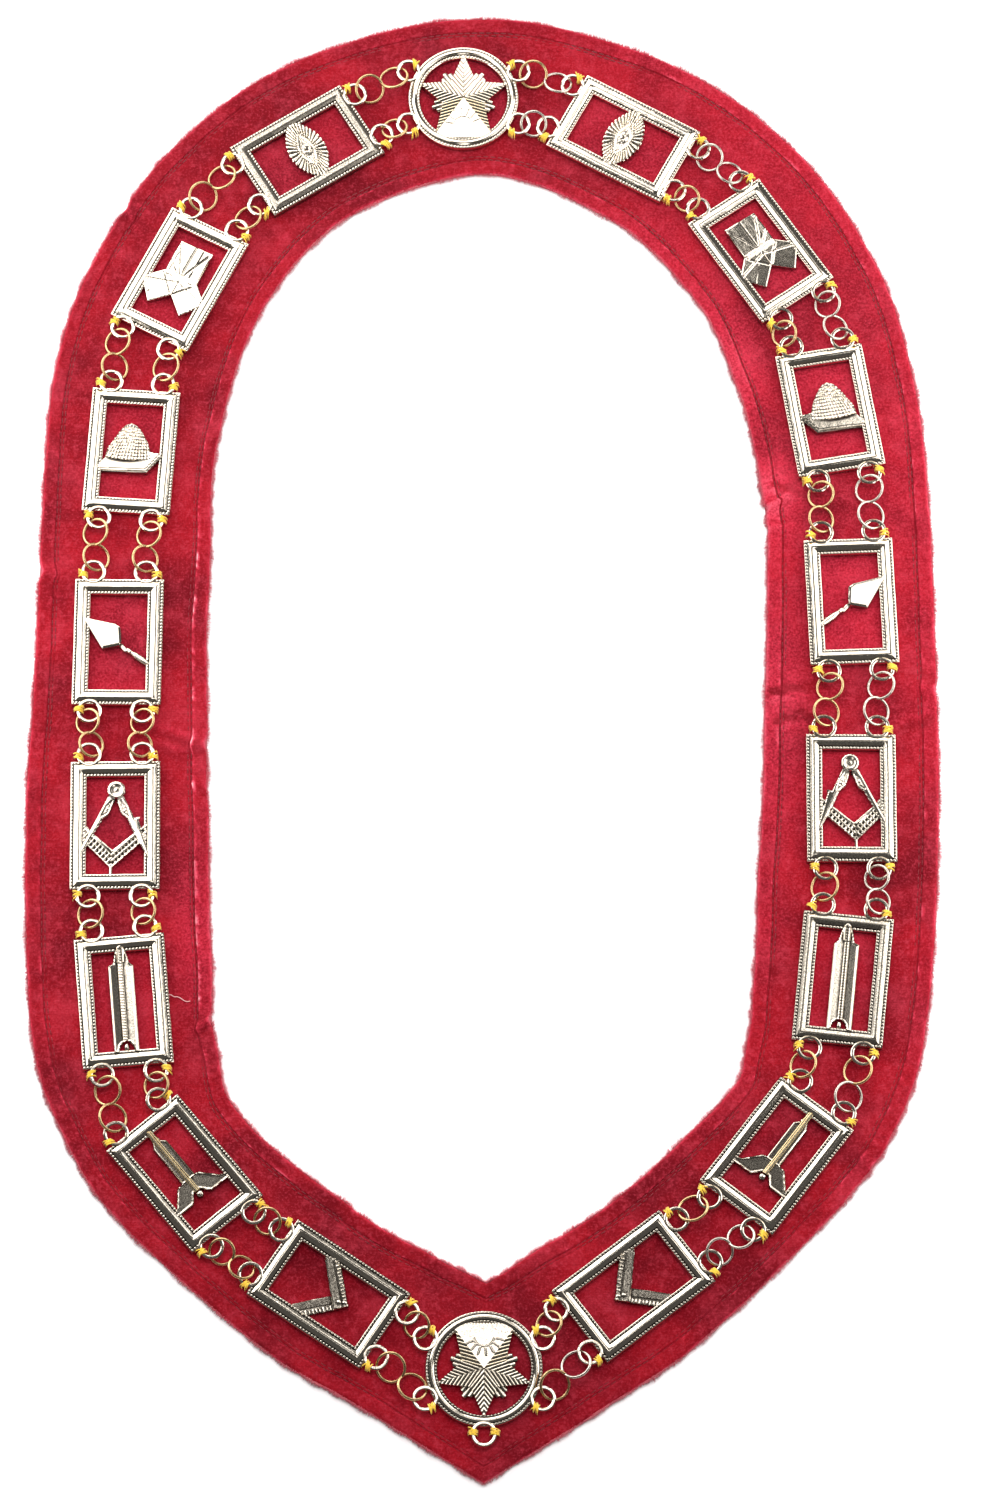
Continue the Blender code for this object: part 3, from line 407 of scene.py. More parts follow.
class Shell:
    """Points, faces and brightness of one piece, gathered from grids and repeats."""

    def __init__(self):
        self.points, self.wear, self.quads, self.triangles = [], [], [], []
        self.count = 0

    def add(self, points, quads=None, triangles=None, wear=1.0):
        """Points, the faces between them and how bright they are: rubbed bright, and painted light
        and shade.
        """
        points = np.asarray(points, float).reshape(-1, 3)
        self.points.append(points)
        self.wear.append(np.broadcast_to(np.asarray(wear, float).ravel(), (len(points),)))
        for faces, kept in ((quads, self.quads), (triangles, self.triangles)):
            if faces is not None:
                kept.append(np.asarray(faces) + self.count)
        self.count += len(points)

    def grid(self, points, round_first=True, wear=1.0):
        """A sheet of points[first, second, 3], joined to itself where it is round. One that is only
        round the second way is a tube, and a fan of triangles closes each of its ends."""
        rows, columns = points.shape[:2]
        number = np.arange(rows * columns).reshape(rows, columns)
        after = np.roll(number, -1, axis=0)
        beside = np.roll(after, -1, 1), np.roll(number, -1, 1)
        quads = np.stack([number, after, *beside], axis=2)
        triangles = None
        if not round_first:
            quads = quads[:-1]
            fan = np.array([(-1, k, k + 1) for k in range(columns - 2)])
            triangles = np.concatenate([number[0][fan], number[-1][fan[:, ::-1]]])
        wear = np.broadcast_to(wear, (rows, columns))
        self.add(points, quads.reshape(-1, 4), triangles, wear)

    def repeat(self, shape, faces, places, wear=1.0):
        """The small shape at every place: places[n] is a 3 by 4 matrix of turn and place."""
        points = np.einsum("nij,kj->nki", places[:, :, :3], shape) + places[:, None, :, 3]
        steps = (np.arange(len(places)) * len(shape))[:, None, None]
        quads, triangles = (
            (np.array([face for face in faces if len(face) == size]) + steps).reshape(-1, size)
            for size in (4, 3)
        )
        wear = np.broadcast_to(wear, (len(places), len(shape)))
        self.add(points, quads, triangles, wear)

    def piece(self, name, material, sharp=None, pose=None, blackening_and_painted_shade=0.0):
        """The gathered faces as one object, in metres, with its brightness on its points."""
        points = np.concatenate(self.points)
        if pose is not None:
            points = points @ pose[:, :3].T + pose[:, 3]
        mesh = bpy.data.meshes.new(name)
        faces = [face for part in self.quads + self.triangles for face in part.tolist()]
        mesh.from_pydata((points * 0.001).tolist(), [], faces)
        mesh.update()
        mesh.shade_smooth()
        if sharp is not None:
            mesh.set_sharp_from_angle(angle=math.radians(sharp))
        for label, values in (("wear", np.concatenate(self.wear)), ("blackening_and_painted_shade", blackening_and_painted_shade)):
            layer = mesh.attributes.new(label, "FLOAT", "POINT")
            values = np.broadcast_to(np.asarray(values, np.float32), (self.count,))
            layer.data.foreach_set("value", np.ascontiguousarray(values))
        mesh.materials.append(material)
        made = bpy.data.objects.new(name, mesh)
        bpy.context.scene.collection.objects.link(made)
        return made


def finished(piece, slot, *nodes):
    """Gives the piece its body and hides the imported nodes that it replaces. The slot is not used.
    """
    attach(piece, "root")
    if nodes:
        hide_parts(*nodes)


def put(tree, kind, sockets=None, output=0, **settings):
    """Adds a node and gives one of its outputs. Settings are the node's own. Sockets are values,
    colours or other nodes' outputs, by the name or the place of the input: a mixed colour's share
    and two colours are 0, 6 and 7, and a range's value, ends and new ends are 0 to 4."""
    made = tree.nodes.new(kind)
    for name, value in settings.items():
        setattr(made, name, value)
    for name, value in (sockets or {}).items():
        socket = made.inputs[name]
        if isinstance(value, bpy.types.NodeSocket):
            tree.links.new(value, socket)
        elif socket.type == "RGBA":
            socket.default_value = (*value[:3], 1.0)
        else:
            socket.default_value = value
    return made.outputs[output] if made.outputs else None


def new_material(name):
    """An empty material, its node tree and the object's own coordinates."""
    material = bpy.data.materials.new(name)
    material.use_nodes = True
    tree = material.node_tree
    tree.nodes.clear()
    return material, tree, put(tree, "ShaderNodeTexCoord", output="Object")


def surfaced(material, sockets):
    """The material with its surface, made from the given colour, gloss and relief."""
    surface = put(material.node_tree, "ShaderNodeBsdfPrincipled", sockets)
    put(material.node_tree, "ShaderNodeOutputMaterial", {"Surface": surface})
    return material


def tinted(tree, colour, tone, value, low, high, most, least=0.0):
    """The colour, mixed with a tone: a value carried from its range to least and most says how
    much of the tone there is."""
    share = put(tree, "ShaderNodeMapRange", {0: value, 1: low, 2: high, 3: least, 4: most})
    return put(tree, "ShaderNodeMix", {0: share, 6: colour, 7: tone}, 2, data_type="RGBA")


def uneven(where, size, detail, rough=0.55):
    """Settings of a pattern whose largest lumps are about size across, in millimetres."""
    return {"Vector": where, "Scale": 1000 / size, "Detail": detail, "Roughness": rough}


def velvet_material(cloth):
    """Cotton velvet, woven with a cut pile: soft, deep red, with painted sheen and painted shade
    where it was brushed.
    """
    material, tree, where = new_material("cut pile cotton velvet")
    away = put(tree, "ShaderNodeMapping", {"Vector": where, "Location": (0.3, 0.7, 0.0)})
    # painted sheen and painted shade of 12 to 60 mm, where hands have brushed the pile one way or
    # the other
    broad_sheen_and_shade = put(tree, "ShaderNodeTexNoise", uneven(where, 52.0, 4.0, 0.62))
    patches = put(tree, "ShaderNodeTexNoise", uneven(away, 21.0, 5.0, 0.68))
    # flecks of painted sheen and painted shade, 2 to 4 mm, where the nap lies unevenly
    flecks = put(tree, "ShaderNodeTexNoise", uneven(away, 3.6, 3.0, 0.7))
    # the pile's tufts, 0.5 mm apart in the cloth, drawn at 1 mm so that they show
    tufts = put(tree, "ShaderNodeTexNoise", uneven(where, 1.0, 3.0, 0.65))
    tips = put(tree, "ShaderNodeTexNoise", uneven(where, 1.0, 3.0, 0.7))
    colour = tinted(tree, cloth.dark, cloth.colour, broad_sheen_and_shade, 0.38, 0.6, 1.0)
    for lumps, tone, low, high, most in (
        (patches, cloth.light, 0.5, 0.75, 0.42),
        (patches, cloth.dark, 0.48, 0.27, 0.5),
        (flecks, cloth.light, 0.52, 0.72, 0.38),
        (flecks, cloth.dark, 0.48, 0.25, 0.3),
        (tufts, cloth.light, 0.5, 0.72, 0.42),
        (tufts, cloth.dark, 0.5, 0.28, 0.36),
    ):
        colour = tinted(tree, colour, tone, lumps, low, high, most)
    # faint rows of the weave across the band, 1 mm apart
    sockets = {"Vector": where, "Scale": 310.0, "Distortion": 1.2}
    rows = put(tree, "ShaderNodeTexWave", sockets, "Fac", bands_direction="Y")
    colour = tinted(tree, colour, cloth.dark, rows, 0.0, 1.0, 0.14)
    # above 1 the attribute brings painted sheen, below 1 the painted shade of a crease or of the
    # stitch line
    wear = put(tree, "ShaderNodeAttribute", output="Fac", attribute_name="wear")
    tipped = put(tree, "ShaderNodeMapRange", {0: tips, 1: 0.35, 2: 0.65, 3: 0.25, 4: 1.6})
    # painted sheen: rosy red, and at the edges the loose pile's paler colour, stronger on the
    # tufts' tips
    for tone, low, high in ((linear("#CE3047"), 1.0, 1.7), (cloth.rim, 1.3, 2.0)):
        share = put(tree, "ShaderNodeMapRange", {0: wear, 1: low, 2: high})
        share = put(tree, "ShaderNodeMath", {0: share, 1: tipped}, operation="MULTIPLY")
        colour = put(tree, "ShaderNodeMix", {0: share, 6: colour, 7: tone}, 2, data_type="RGBA")
    # painted highlight, pink-white, where the painted sheen is strongest
    colour = tinted(tree, colour, linear("#EDB9BE"), wear, 2.0, 3.0, 1.0)
    # painted shade in the thread's darker red, where the attribute is below 1
    colour = tinted(tree, colour, cloth.thread, wear, 0.0, 1.0, 0.0, 0.75)
    height = put(tree, "ShaderNodeMath", {0: tufts, 1: patches}, operation="ADD")
    bump = put(tree, "ShaderNodeBump", {"Height": height, "Strength": 0.55, "Distance": 0.0006})
    surface = {
        "Base Color": colour,
        "Roughness": 0.95,
        "Specular IOR Level": 0.15,
        "Sheen Weight": 0.22,
        "Sheen Roughness": 0.35,
        "Sheen Tint": linear("#FF9FB0"),
        "Normal": bump,
    }
    return surfaced(material, surface)


def pile_material(cloth):
    """Loose cotton pile at the cut edges: paler than the cloth, because light goes through it."""
    material, tree, where = new_material("loose cotton pile")
    lumps = put(tree, "ShaderNodeTexNoise", uneven(where, 14.0, 3.0))
    tips = put(tree, "ShaderNodeAttribute", output="Fac", attribute_name="wear")
    colour = tinted(tree, cloth.light, linear("#DF8E98"), tips, 0.2, 1.0, 0.9)
    surface = {
        "Base Color": tinted(tree, colour, linear("#EFA9AD"), lumps, 0.5, 0.75, 0.35),
        "Roughness": 0.9,
        "Specular IOR Level": 0.1,
        "Sheen Weight": 0.3,
        "Sheen Roughness": 0.5,
        "Sheen Tint": linear("#FFC4C6"),
    }
    return surfaced(material, surface)


def thread_material(name, colour, twist):
    """Spun cotton thread: matt, its plies turned round each other every twist, in millimetres."""
    material, tree, where = new_material(name)
    plies = put(tree, "ShaderNodeTexNoise", uneven(where, twist, 2.0))
    tone = tinted(tree, colour, [0.6 * part for part in colour], plies, 0.4, 0.75, 0.3)
    bump = put(tree, "ShaderNodeBump", {"Height": plies, "Strength": 0.5, "Distance": 0.0002})
    surface = {"Base Color": tone, "Roughness": 0.75, "Sheen Weight": 0.25, "Normal": bump}
    return surfaced(material, surface)


def nickel_material(castings):
    """Cast white metal, plated pale nickel: bright where rubbed, dark in its recesses, which is
    blackening and in part painted shade.
    """
    material, tree, where = new_material("cast pale nickel")
    wear, blackening_and_painted_shade = (
        put(tree, "ShaderNodeAttribute", output="Fac", attribute_name=name)
        for name in ("wear", "blackening_and_painted_shade")
    )
    # cast skin: pits of a few tenths of a millimetre, which hold the black of an old casting; how
    # much they hold, set per plate, also paints the darker reflection of a plate that lies tilted
    pits = put(tree, "ShaderNodeTexNoise", uneven(where, 0.55, 2.0, 0.6))
    swells = put(tree, "ShaderNodeTexNoise", uneven(where, 5.0, 2.0))
    pit_stain_and_shade = put(tree, "ShaderNodeMapRange", {0: pits, 1: 0.4, 2: 0.62})
    pit_stain_and_shade = put(tree, "ShaderNodeMath", {0: blackening_and_painted_shade, 1: pit_stain_and_shade}, operation="MULTIPLY")
    kept = put(tree, "ShaderNodeMath", {0: wear, 1: pit_stain_and_shade}, operation="SUBTRACT")
    colour = tinted(tree, castings.black, castings.bright, kept, 0.0, 0.75, 1.0)
    smooth = put(tree, "ShaderNodeMapRange", {0: kept, 1: 0.0, 2: 0.9, 3: 0.34, 4: 0.1})
    washed = put(tree, "ShaderNodeMapRange", {0: wear, 1: 1.05, 2: 1.6, 3: 0.0, 4: 0.42})
    waves = put(tree, "ShaderNodeBump", {"Height": swells, "Strength": 0.25, "Distance": 0.0003})
    sockets = {"Height": pits, "Strength": 0.2, "Distance": 0.0001, "Normal": waves}
    surface = {
        "Base Color": tinted(tree, colour, castings.wash, wear, 1.05, 1.6, 1.0),
        "Metallic": 1.0,
        "Roughness": put(tree, "ShaderNodeMath", {0: smooth, 1: washed}, operation="MAXIMUM"),
        "Normal": put(tree, "ShaderNodeBump", sockets),
    }
    return surfaced(material, surface)


def wire_material(name, colour, other):
    """Drawn and plated wire: smooth and bright, with fine marks along it. A ring whose wear is 0
    has the other plating."""
    material, tree, where = new_material(name)
    marks = put(tree, "ShaderNodeTexNoise", uneven(where, 1.4, 3.0))
    own = put(tree, "ShaderNodeAttribute", output="Fac", attribute_name="wear")
    plating = put(tree, "ShaderNodeMix", {0: own, 6: other, 7: colour}, 2, data_type="RGBA")
    bump = put(tree, "ShaderNodeBump", {"Height": marks, "Strength": 0.25, "Distance": 0.0001})
    surface = {
        "Base Color": tinted(tree, plating, linear("#5A4E3A"), marks, 0.45, 0.75, 0.4),
        "Metallic": 1.0,
        "Roughness": put(tree, "ShaderNodeMapRange", {0: marks, 1: 0.3, 2: 0.8, 3: 0.22, 4: 0.36}),
        "Normal": bump,
    }
    return surfaced(material, surface)


def floor_material(stage):
    """Matt white paper."""
    material, tree, where = new_material("matt white paper")
    fibre = put(tree, "ShaderNodeTexNoise", uneven(where, 3.0, 2.0))
    shaded = [0.9 * part for part in stage.floor]
    tone = tinted(tree, stage.floor, shaded, fibre, 0.4, 0.6, 0.03)
    return surfaced(material, {"Base Color": tone, "Roughness": 0.9, "Specular IOR Level": 0.2})


def round_curve(rows, places):
    """Points on the closed curve through the rows at the given places, counted in rows: each
    stretch is the cubic whose slope at a row is half the step between its neighbours, and the
    first row, the collar's point, stays sharp."""
    count = len(rows)
    first = np.floor(places).astype(int) % count
    t = (places - np.floor(places))[:, None]
    p0, p1, p2, p3 = (rows[(first + step) % count] for step in (-1, 0, 1, 2))
    p0 = np.where((first == 0)[:, None], 2 * p1 - p2, p0)
    p3 = np.where((first == count - 1)[:, None], 2 * p2 - p1, p3)
    bend = 2 * p0 - 5 * p1 + 4 * p2 - p3
    return 0.5 * (2 * p1 + (p2 - p0) * t + bend * t**2 + (3 * p1 - p0 - 3 * p2 + p3) * t**3)


def waver(places, seed, turns):
    """A smooth closed wobble along the band: sines of the given numbers of turns."""
    dice = np.random.default_rng(seed)
    count = len(BAND_SECTIONS)
    found = np.zeros(len(places))
    for turn in turns:
        found += dice.normal() * np.sin(2 * np.pi * (turn * places / count + dice.random()))
    return found / math.sqrt(len(turns))


def band_edges(places):
    """Outer and inner edge of the band at places along it, with the waver of a sewn edge."""
    half = np.array([HALF_WIDTH, HALF_LENGTH] * 2) / 100
    edges = round_curve(np.array(BAND_SECTIONS) * half, places)
    outer, inner = edges[:, :2], edges[:, 2:]
    across = (inner - outer) / lengths(inner - outer)
    limit = clamped(np.minimum(places, len(BAND_SECTIONS) - places) * 2)
    pull = 0.15 * limit * waver(places, 3, (13, 19, 31, 58))
    push = 0.3 * limit * waver(places, 4, (11, 17, 27, 51))
    outer = outer + across * (np.abs(pull) * 0.8)[:, None]
    inner = inner - across * (push * 0.8)[:, None]
    return outer, inner


def hem_height(reach, hem):
    """Height of the cloth over its distance from the edge: a rolled edge, the doubled hem, two
    stitch lines pulled in, and the flat cloth."""
    knots, heights = np.array(HEM_CUT).T
    return np.interp(reach, knots * hem / DRAWN_HEM, heights)


def between(outer, inner, share):
    """Points at a share of the way from the outer to the inner edge."""
    return outer[:, None] * (1 - share[..., None]) + inner[:, None] * share[..., None]


def puckered(places, face, width, outer):
    """What the puckers do: how high the cloth lifts, how far it is drawn in as a share of the band,
    and how much painted shade darkens it, in its crease and the hollow beyond, with painted light
    on its ridge. Each is a ridge that fades from its edge, with a crease beside it."""
    lift, inwards, shade = np.zeros((3, *face.shape))
    steps = lengths(outer - np.roll(outer, 1, 0))[:, 0]
    for spot, edge, extent, size, rise, draw, slant in PUCKERS:
        length = steps[int(spot * STATIONS)] * STATIONS
        from_edge = face if edge == "outer" else 1 - face
        away = ((places - spot) * length)[:, None] - slant * from_edge * width
        fade = clamped(1 - from_edge / extent)
        ridge = bell(away, 0.38 * size) * fade**0.8
        crease = bell(away - 0.45 * size, 1.1) * fade
        hollow = bell(away - 0.75 * size, 2.6) * (from_edge < 0.5)
        lift += rise * (ridge - 0.9 * crease)
        # painted shade in the crease and hollow, painted light on the ridge
        shade += rise * (0.16 * crease + 0.12 * hollow - 0.1 * ridge)
        draws = draw * bell(away, 0.35 * size) / width
        inwards += draws * (1 - face) if edge == "outer" else -draws * face
    return lift, inwards, shade


def creased(x, y):
    """What the creases do: each is a valley along its line, darkened by painted shade, with a low
    ridge beside it lightened by painted light, and fades at both ends."""
    lift, shade = np.zeros((2, *x.shape))
    for ax, ay, bx, by, depth in CREASES:
        ex, ey = bx - ax, by - ay
        size = math.hypot(ex, ey)
        along = ((x - ax) * ex + (y - ay) * ey) / size**2
        off = ((x - ax) * ey - (y - ay) * ex) / size + 0.5 * np.sin(5 * along)
        fade = depth * clamped(4 * along) * clamped(1.3 - along)
        lift += fade * (0.35 * bell(off - 1.6, 1.5) - 0.3 * bell(off, 0.8))
        # painted shade in the valley, painted light on the ridge beside it
        shade += fade * (0.7 * bell(off, 1.3) - 0.2 * bell(off - 2.6, 1.8))
    return lift, shade


def painted_sheen_and_shade(places, x, y, reach, is_inner, hem):
    """Painted sheen and shade on the pile: 1 in the plain cloth, more where painted sheen makes it
    paler and less where painted shade makes it darker. The sheen is painted where the pile is loose
    at the edges, tufted on the hem and its seam, and brushed up inside the chain on the right and
    at the lower left; painted light makes it paler to the upper right and in the windows, and
    painted shade darker at the foot and along the stitch line."""
    right = clamped(0.5 + x / 160)
    short, long = (
        clamped(0.5 + 0.5 * waver(places, seed, turns))[:, None]
        for seed, turns in ((12, (37, 59, 83)), (14, (9, 15, 22)))
    )
    tufts = np.sin(x / 0.83 + 2 * np.sin(y / 1.3)) * np.sin(y / 0.71 + 2 * np.sin(x / 1.7))
    tufted = clamped(0.5 + 0.5 * tufts)
    # painted sheen on the loose pile at the edges, and on the hem, more to the right
    painted_light = 1 + bell(reach, 0.9) * (0.35 + 0.45 * short)
    painted_light += (0.01 + 0.07 * right * long) * clamped((hem - reach) / 1.5) * (0.5 + tufted)
    # painted sheen on the tufts of the seam, strongest on the inner seam at the left
    outer_seam = 0.45 + 0.4 * right + 0.35 * (x < -60) * (y < -20)
    seam = bell(reach - 0.9 * hem, 0.55) * np.where(is_inner, 1 - 0.4 * right, outer_seam)
    strong_seam_sheen = is_inner & (x < -40) & (y > -120)
    pale = np.where(strong_seam_sheen, 0.8 + 1.8 * clamped((130 - y) / 50), 0.8)
    painted_light += pale * seam * tufted**2 * (0.3 + short)
    # painted sheen inside the chain, on the right and at the lower left
    inside = clamped((20 - reach) / 10) * is_inner
    painted_light += (0.04 + 0.24 * long) * inside * clamped((x - 60) / 40) * clamped((y + 110) / 60)
    above = clamped(0.5 + (y + 118.8 + 0.745 * (x + 128.7)) / 4)
    painted_light += 0.26 * inside * bell(y + 90, 32) * (x < 0) * above
    # painted light, paler to the upper right
    painted_light += 0.11 * clamped((x - 10) / 120) * clamped((y + 70) / 150)
    # painted shade, darker at the foot
    painted_light += 0.01 - 0.24 * clamped((-y - 185) / 95)
    # painted light in the plates' windows, where their frames would shade the cloth
    for _, emblem, across, along, turn, _ in PLATES:
        pose = plate_pose(across, along, turn)
        from_x, from_y = x - pose[0, 3], y - pose[1, 3]
        u, v = (from_x * pose[0, k] + from_y * pose[1, k] for k in (0, 1))
        window = np.maximum(np.abs(u) - 12, np.abs(v) - 21)
        if emblem == "star":
            window = np.hypot(u, v) - 18.5
        painted_light += (0.04 + 0.1 * clamped((y + 170) / 90)) * clamped(0.5 - window / 3)
    # painted shade along the stitch line
    return np.where(np.abs(reach - hem) < 0.35, 0.5, painted_light)


def make_velvet(cloth):
    """The band: at place u along it and v across it, a point runs from the outer to the inner edge
    over the face and back underneath. Its height is the hem's cut plus low swells, a tremble,
    puckers and creases."""
    hem = cloth.hem_width * 1000
    places = np.arange(0, len(BAND_SECTIONS), 1 / STATIONS)
    outer, inner = band_edges(places)
    width = lengths(inner - outer)
    near = np.array(NEAR_EDGE) * hem / DRAWN_HEM / width
    last = near[:, -1:]
    middle = last + (1 - 2 * last) * np.linspace(0, 1, 22)[1:-1]
    face = np.concatenate([near, middle, 1 - near[:, ::-1]], axis=1)
    reach = np.minimum(face, 1 - face) * width
    lift, inwards, shade = puckered(places, face, width, outer)
    face = clamped(face + inwards)
    plan = between(outer, inner, face)
    x, y = plan[..., 0], plan[..., 1]
    # the creases lift the cloth, and dark is their painted shade
    fold, dark = creased(x, y)
    swell = np.sin(x / 9.1 + 2 * np.sin(y / 31)) + np.sin(y / 7.3 + 2 * np.sin(x / 23))
    swell = swell + np.sin((x + y) / 5.2)
    tremble = np.sin(x / 1.9 + 3 * np.sin(y / 6.1)) * np.sin(y / 1.7 + 2 * np.sin(x / 4.7))
    gather = waver(places, 9, (140, 171, 203, 222))[:, None]
    height = hem_height(reach, hem) + (0.05 + 0.09 * clamped((15 - reach) / 5)) * swell
    height += 0.05 * tremble + 0.15 * gather * bell(reach - 4.0, 2.2)
    height = np.maximum(height + lift + fold, 0.5)
    height = np.where(reach > 17, np.minimum(height, UNDER_PLATES), height)
    # painted sheen and light on the pile, less the painted shade of the puckers and creases
    painted_light = painted_sheen_and_shade(places, x, y, reach, face > 0.5, hem) - shade - dark
    under = np.array([0.5, 1.2, 3.0])
    below = np.concatenate([1 - under / width, under[::-1] / width], axis=1)
    top = np.concatenate([plan, height[..., None]], axis=2)
    low = np.concatenate([between(outer, inner, below), np.zeros((*below.shape, 1))], axis=2)
    wear = np.concatenate([np.clip(painted_light, 0.25, 3), np.ones(below.shape)], axis=1)
    shell = Shell()
    shell.grid(np.concatenate([top, low], axis=1), wear=wear)
    velvet = shell.piece("velvet_face", velvet_material(cloth))
    finished(velvet, "red_velvet", "velvet_band")


def make_pile(cloth):
    """Loose pile along both edges: each tuft is a thin three-sided spike that leans out of the edge
    and up, by an angle and a length drawn from a seeded table."""
    dice = np.random.default_rng(21)
    count = cloth.pile_count
    places = np.sort(dice.random(count)) * len(BAND_SECTIONS)
    outer, inner = band_edges(places)
    across = (inner - outer) / lengths(inner - outer)
    is_outer = dice.random(count) < 0.58
    edge = np.where(is_outer[:, None], outer, inner)
    out = np.where(is_outer[:, None], -across, across)
    step = np.pi * (HALF_WIDTH + HALF_LENGTH) / len(BAND_SECTIONS)
    for spot, side, _, size, _, draw, _ in PUCKERS:
        moved = draw * bell((places - spot) * step, 0.35 * size)
        edge = edge - out * (moved * (is_outer == (side == "outer")))[:, None]
    lean = np.radians(dice.uniform(-20, 42, count))
    swing = dice.normal(0, 0.38, count)
    inset = dice.uniform(0.1, 0.7, count)
    foot_height = 1.0 + 1.55 * np.sqrt(inset) * dice.uniform(0.55, 1.0, count)
    length = cloth.pile_length * 1000 * dice.uniform(0.4, 1.0, count)
    length *= 0.75 + 0.25 * waver(places, 33, (29, 53, 97))
    heading = np.stack([out[:, 0] - swing * out[:, 1], out[:, 1] + swing * out[:, 0]], axis=1)
    heading /= lengths(heading)
    axis = np.column_stack([heading * np.cos(lean)[:, None], np.sin(lean)])
    foot = np.column_stack([edge - out * inset[:, None], foot_height])
    side = np.column_stack([-heading[:, 1], heading[:, 0], np.zeros(count)])
    third = np.cross(axis, side)
    thick = dice.uniform(0.1, 0.2, count)[:, None]
    turns = (0, 2.094, 4.189)
    corners = [foot + thick * (side * math.cos(t) + third * math.sin(t)) for t in turns]
    tip = foot + axis * length[:, None]
    tip[:, 2] = np.maximum(tip[:, 2], 0.1)
    points = np.stack([*corners, tip], axis=1)
    faces = np.array([(0, 1, 3), (1, 2, 3), (2, 0, 3), (0, 2, 1)])[:, None]
    faces = (faces + 4 * np.arange(count)[:, None]).reshape(-1, 3)
    shell = Shell()
    shell.add(points, triangles=faces, wear=np.tile([0.2, 0.2, 0.2, 1.0], count))
    finished(shell.piece("velvet_pile", pile_material(cloth)), "red_velvet")


def make_hem_stitches(cloth):
    """Two rows of stitches in each hem: half sunk grains of thread, 2.3 mm long and 3.1 apart. A
    grain has three cuts of four corners, as high as a circle there, and a point at each end."""
    hem = cloth.hem_width * 1000
    along = np.repeat([-0.75, 0.0, 0.75], 4)
    turn = np.tile(np.radians([45, 135, 225, 315]), 3)
    thin = 0.26 * np.sqrt(1 - along**2)
    grain = [1.15 * along, thin * np.cos(turn), thin * np.sin(turn) - 0.12 * along**2]
    grain = np.concatenate([np.stack(grain, axis=1), [[-1.15, 0, -0.14], [1.15, 0, -0.14]]])
    faces = []
    for j in range(4):
        beside = (j + 1) % 4
        faces += [(k + j, k + beside, k + 4 + beside, k + 4 + j) for k in (0, 4)]
        faces += [(12, beside, j), (13, 8 + j, 8 + beside)]
    fine = np.linspace(0.02, len(BAND_SECTIONS) - 0.02, 9000)
    outer, inner = band_edges(fine)
    across = (inner - outer) / lengths(inner - outer)
    shell = Shell()
    for edge, inwards in ((outer, across), (inner, -across)):
        for depth, height in ((1.0, 1.93), (1.2, 2.02)):
            line = edge + inwards * hem * depth
            travelled = np.concatenate([[0], np.cumsum(lengths(np.diff(line, axis=0)))])
            spots = np.arange(2, travelled[-1] - 2, 3.1)
            x, y = (np.interp(spots, travelled, line[:, k]) for k in (0, 1))
            u, v = (np.interp(spots + 0.5, travelled, line[:, k]) for k in (0, 1))
            heading = np.arctan2(v - y, u - x)
            shell.repeat(grain, faces, flat_places(x, y, height, heading))
    thread = thread_material("dark red sewing thread", cloth.thread, 0.7)
    finished(shell.piece("hem_stitches", thread), "red_velvet")


def to_sides(x, y, sides):
    """Distance to the nearest of some straight sides, each given by its two ends."""
    best = np.full(x.shape, 1e9)
    for (ax, ay), (bx, by) in sides:
        ex, ey = bx - ax, by - ay
        t = clamped(((x - ax) * ex + (y - ay) * ey) / (ex * ex + ey * ey))
        best = np.minimum(best, np.hypot(x - ax - t * ex, y - ay - t * ey))
    return best


def to_polygon(x, y, corners):
    """Distance to a closed outline, less than nothing inside: the nearest point of every side,
    with the sign from how often a ray crosses the sides."""
    sides = list(zip(corners, corners[1:] + corners[:1]))
    inside = np.zeros(x.shape, bool)
    for (ax, ay), (bx, by) in sides:
        if ay != by:
            inside ^= ((ay > y) != (by > y)) & (x < ax + (y - ay) * (bx - ax) / (by - ay))
    best = to_sides(x, y, sides)
    return np.where(inside, -best, best)


def to_line(x, y, points):
    """Distance to an open line of corners."""
    return to_sides(x, y, zip(points, points[1:]))


def crowned(distance, rise, reach):
    """Height that climbs from an outline like a quarter circle, over the reach."""
    share = clamped(-distance / reach)
    return rise * np.sqrt(clamped(1 - (1 - share) ** 2))


def rib(distance, rise, half):
    """A raised line: a bell over the distance from it."""
    return rise * bell(distance, half)


def eye_relief(x, y):
    """Almond of rays round a lidded eye: the rays are 36 ridges that turn with the angle."""
    angle = np.arctan2(y * 1.75, x)
    teeth = clamped(np.abs(np.sin(18 * angle)) * 1.25)
    almond = np.hypot(x / 14.2, y / (7.6 * (1 - 0.35 * (x / 14.2) ** 2) + 0.5)) - 1
    almond = almond * 7.0 + 0.9 * (1 - teeth)
    rays = 2.7 + 0.75 * teeth + crowned(almond, 0.3, 0.5)
    lids = np.abs(y) - 2.9 * (1 - (x / 7.6) ** 2)
    lid = 3.5 + rib(lids, 0.6, 0.4) - 0.5 * bell(lids - 1.0, 0.35)
    middle = np.hypot(x, y)
    ball = 3.2 + 0.5 * clamped(1 - (x / 5) ** 2) + rib(middle - 1.7, 0.35, 0.35)
    ball = np.where(lids < 0, ball, 0) + np.where(middle < 1.6, 0.35 - rib(middle, 0.8, 0.6), 0)
    near = np.hypot(x / 8.3, y / 4.2) - 1
    return [(almond, rays), (near * 3, np.maximum(lid, ball))]


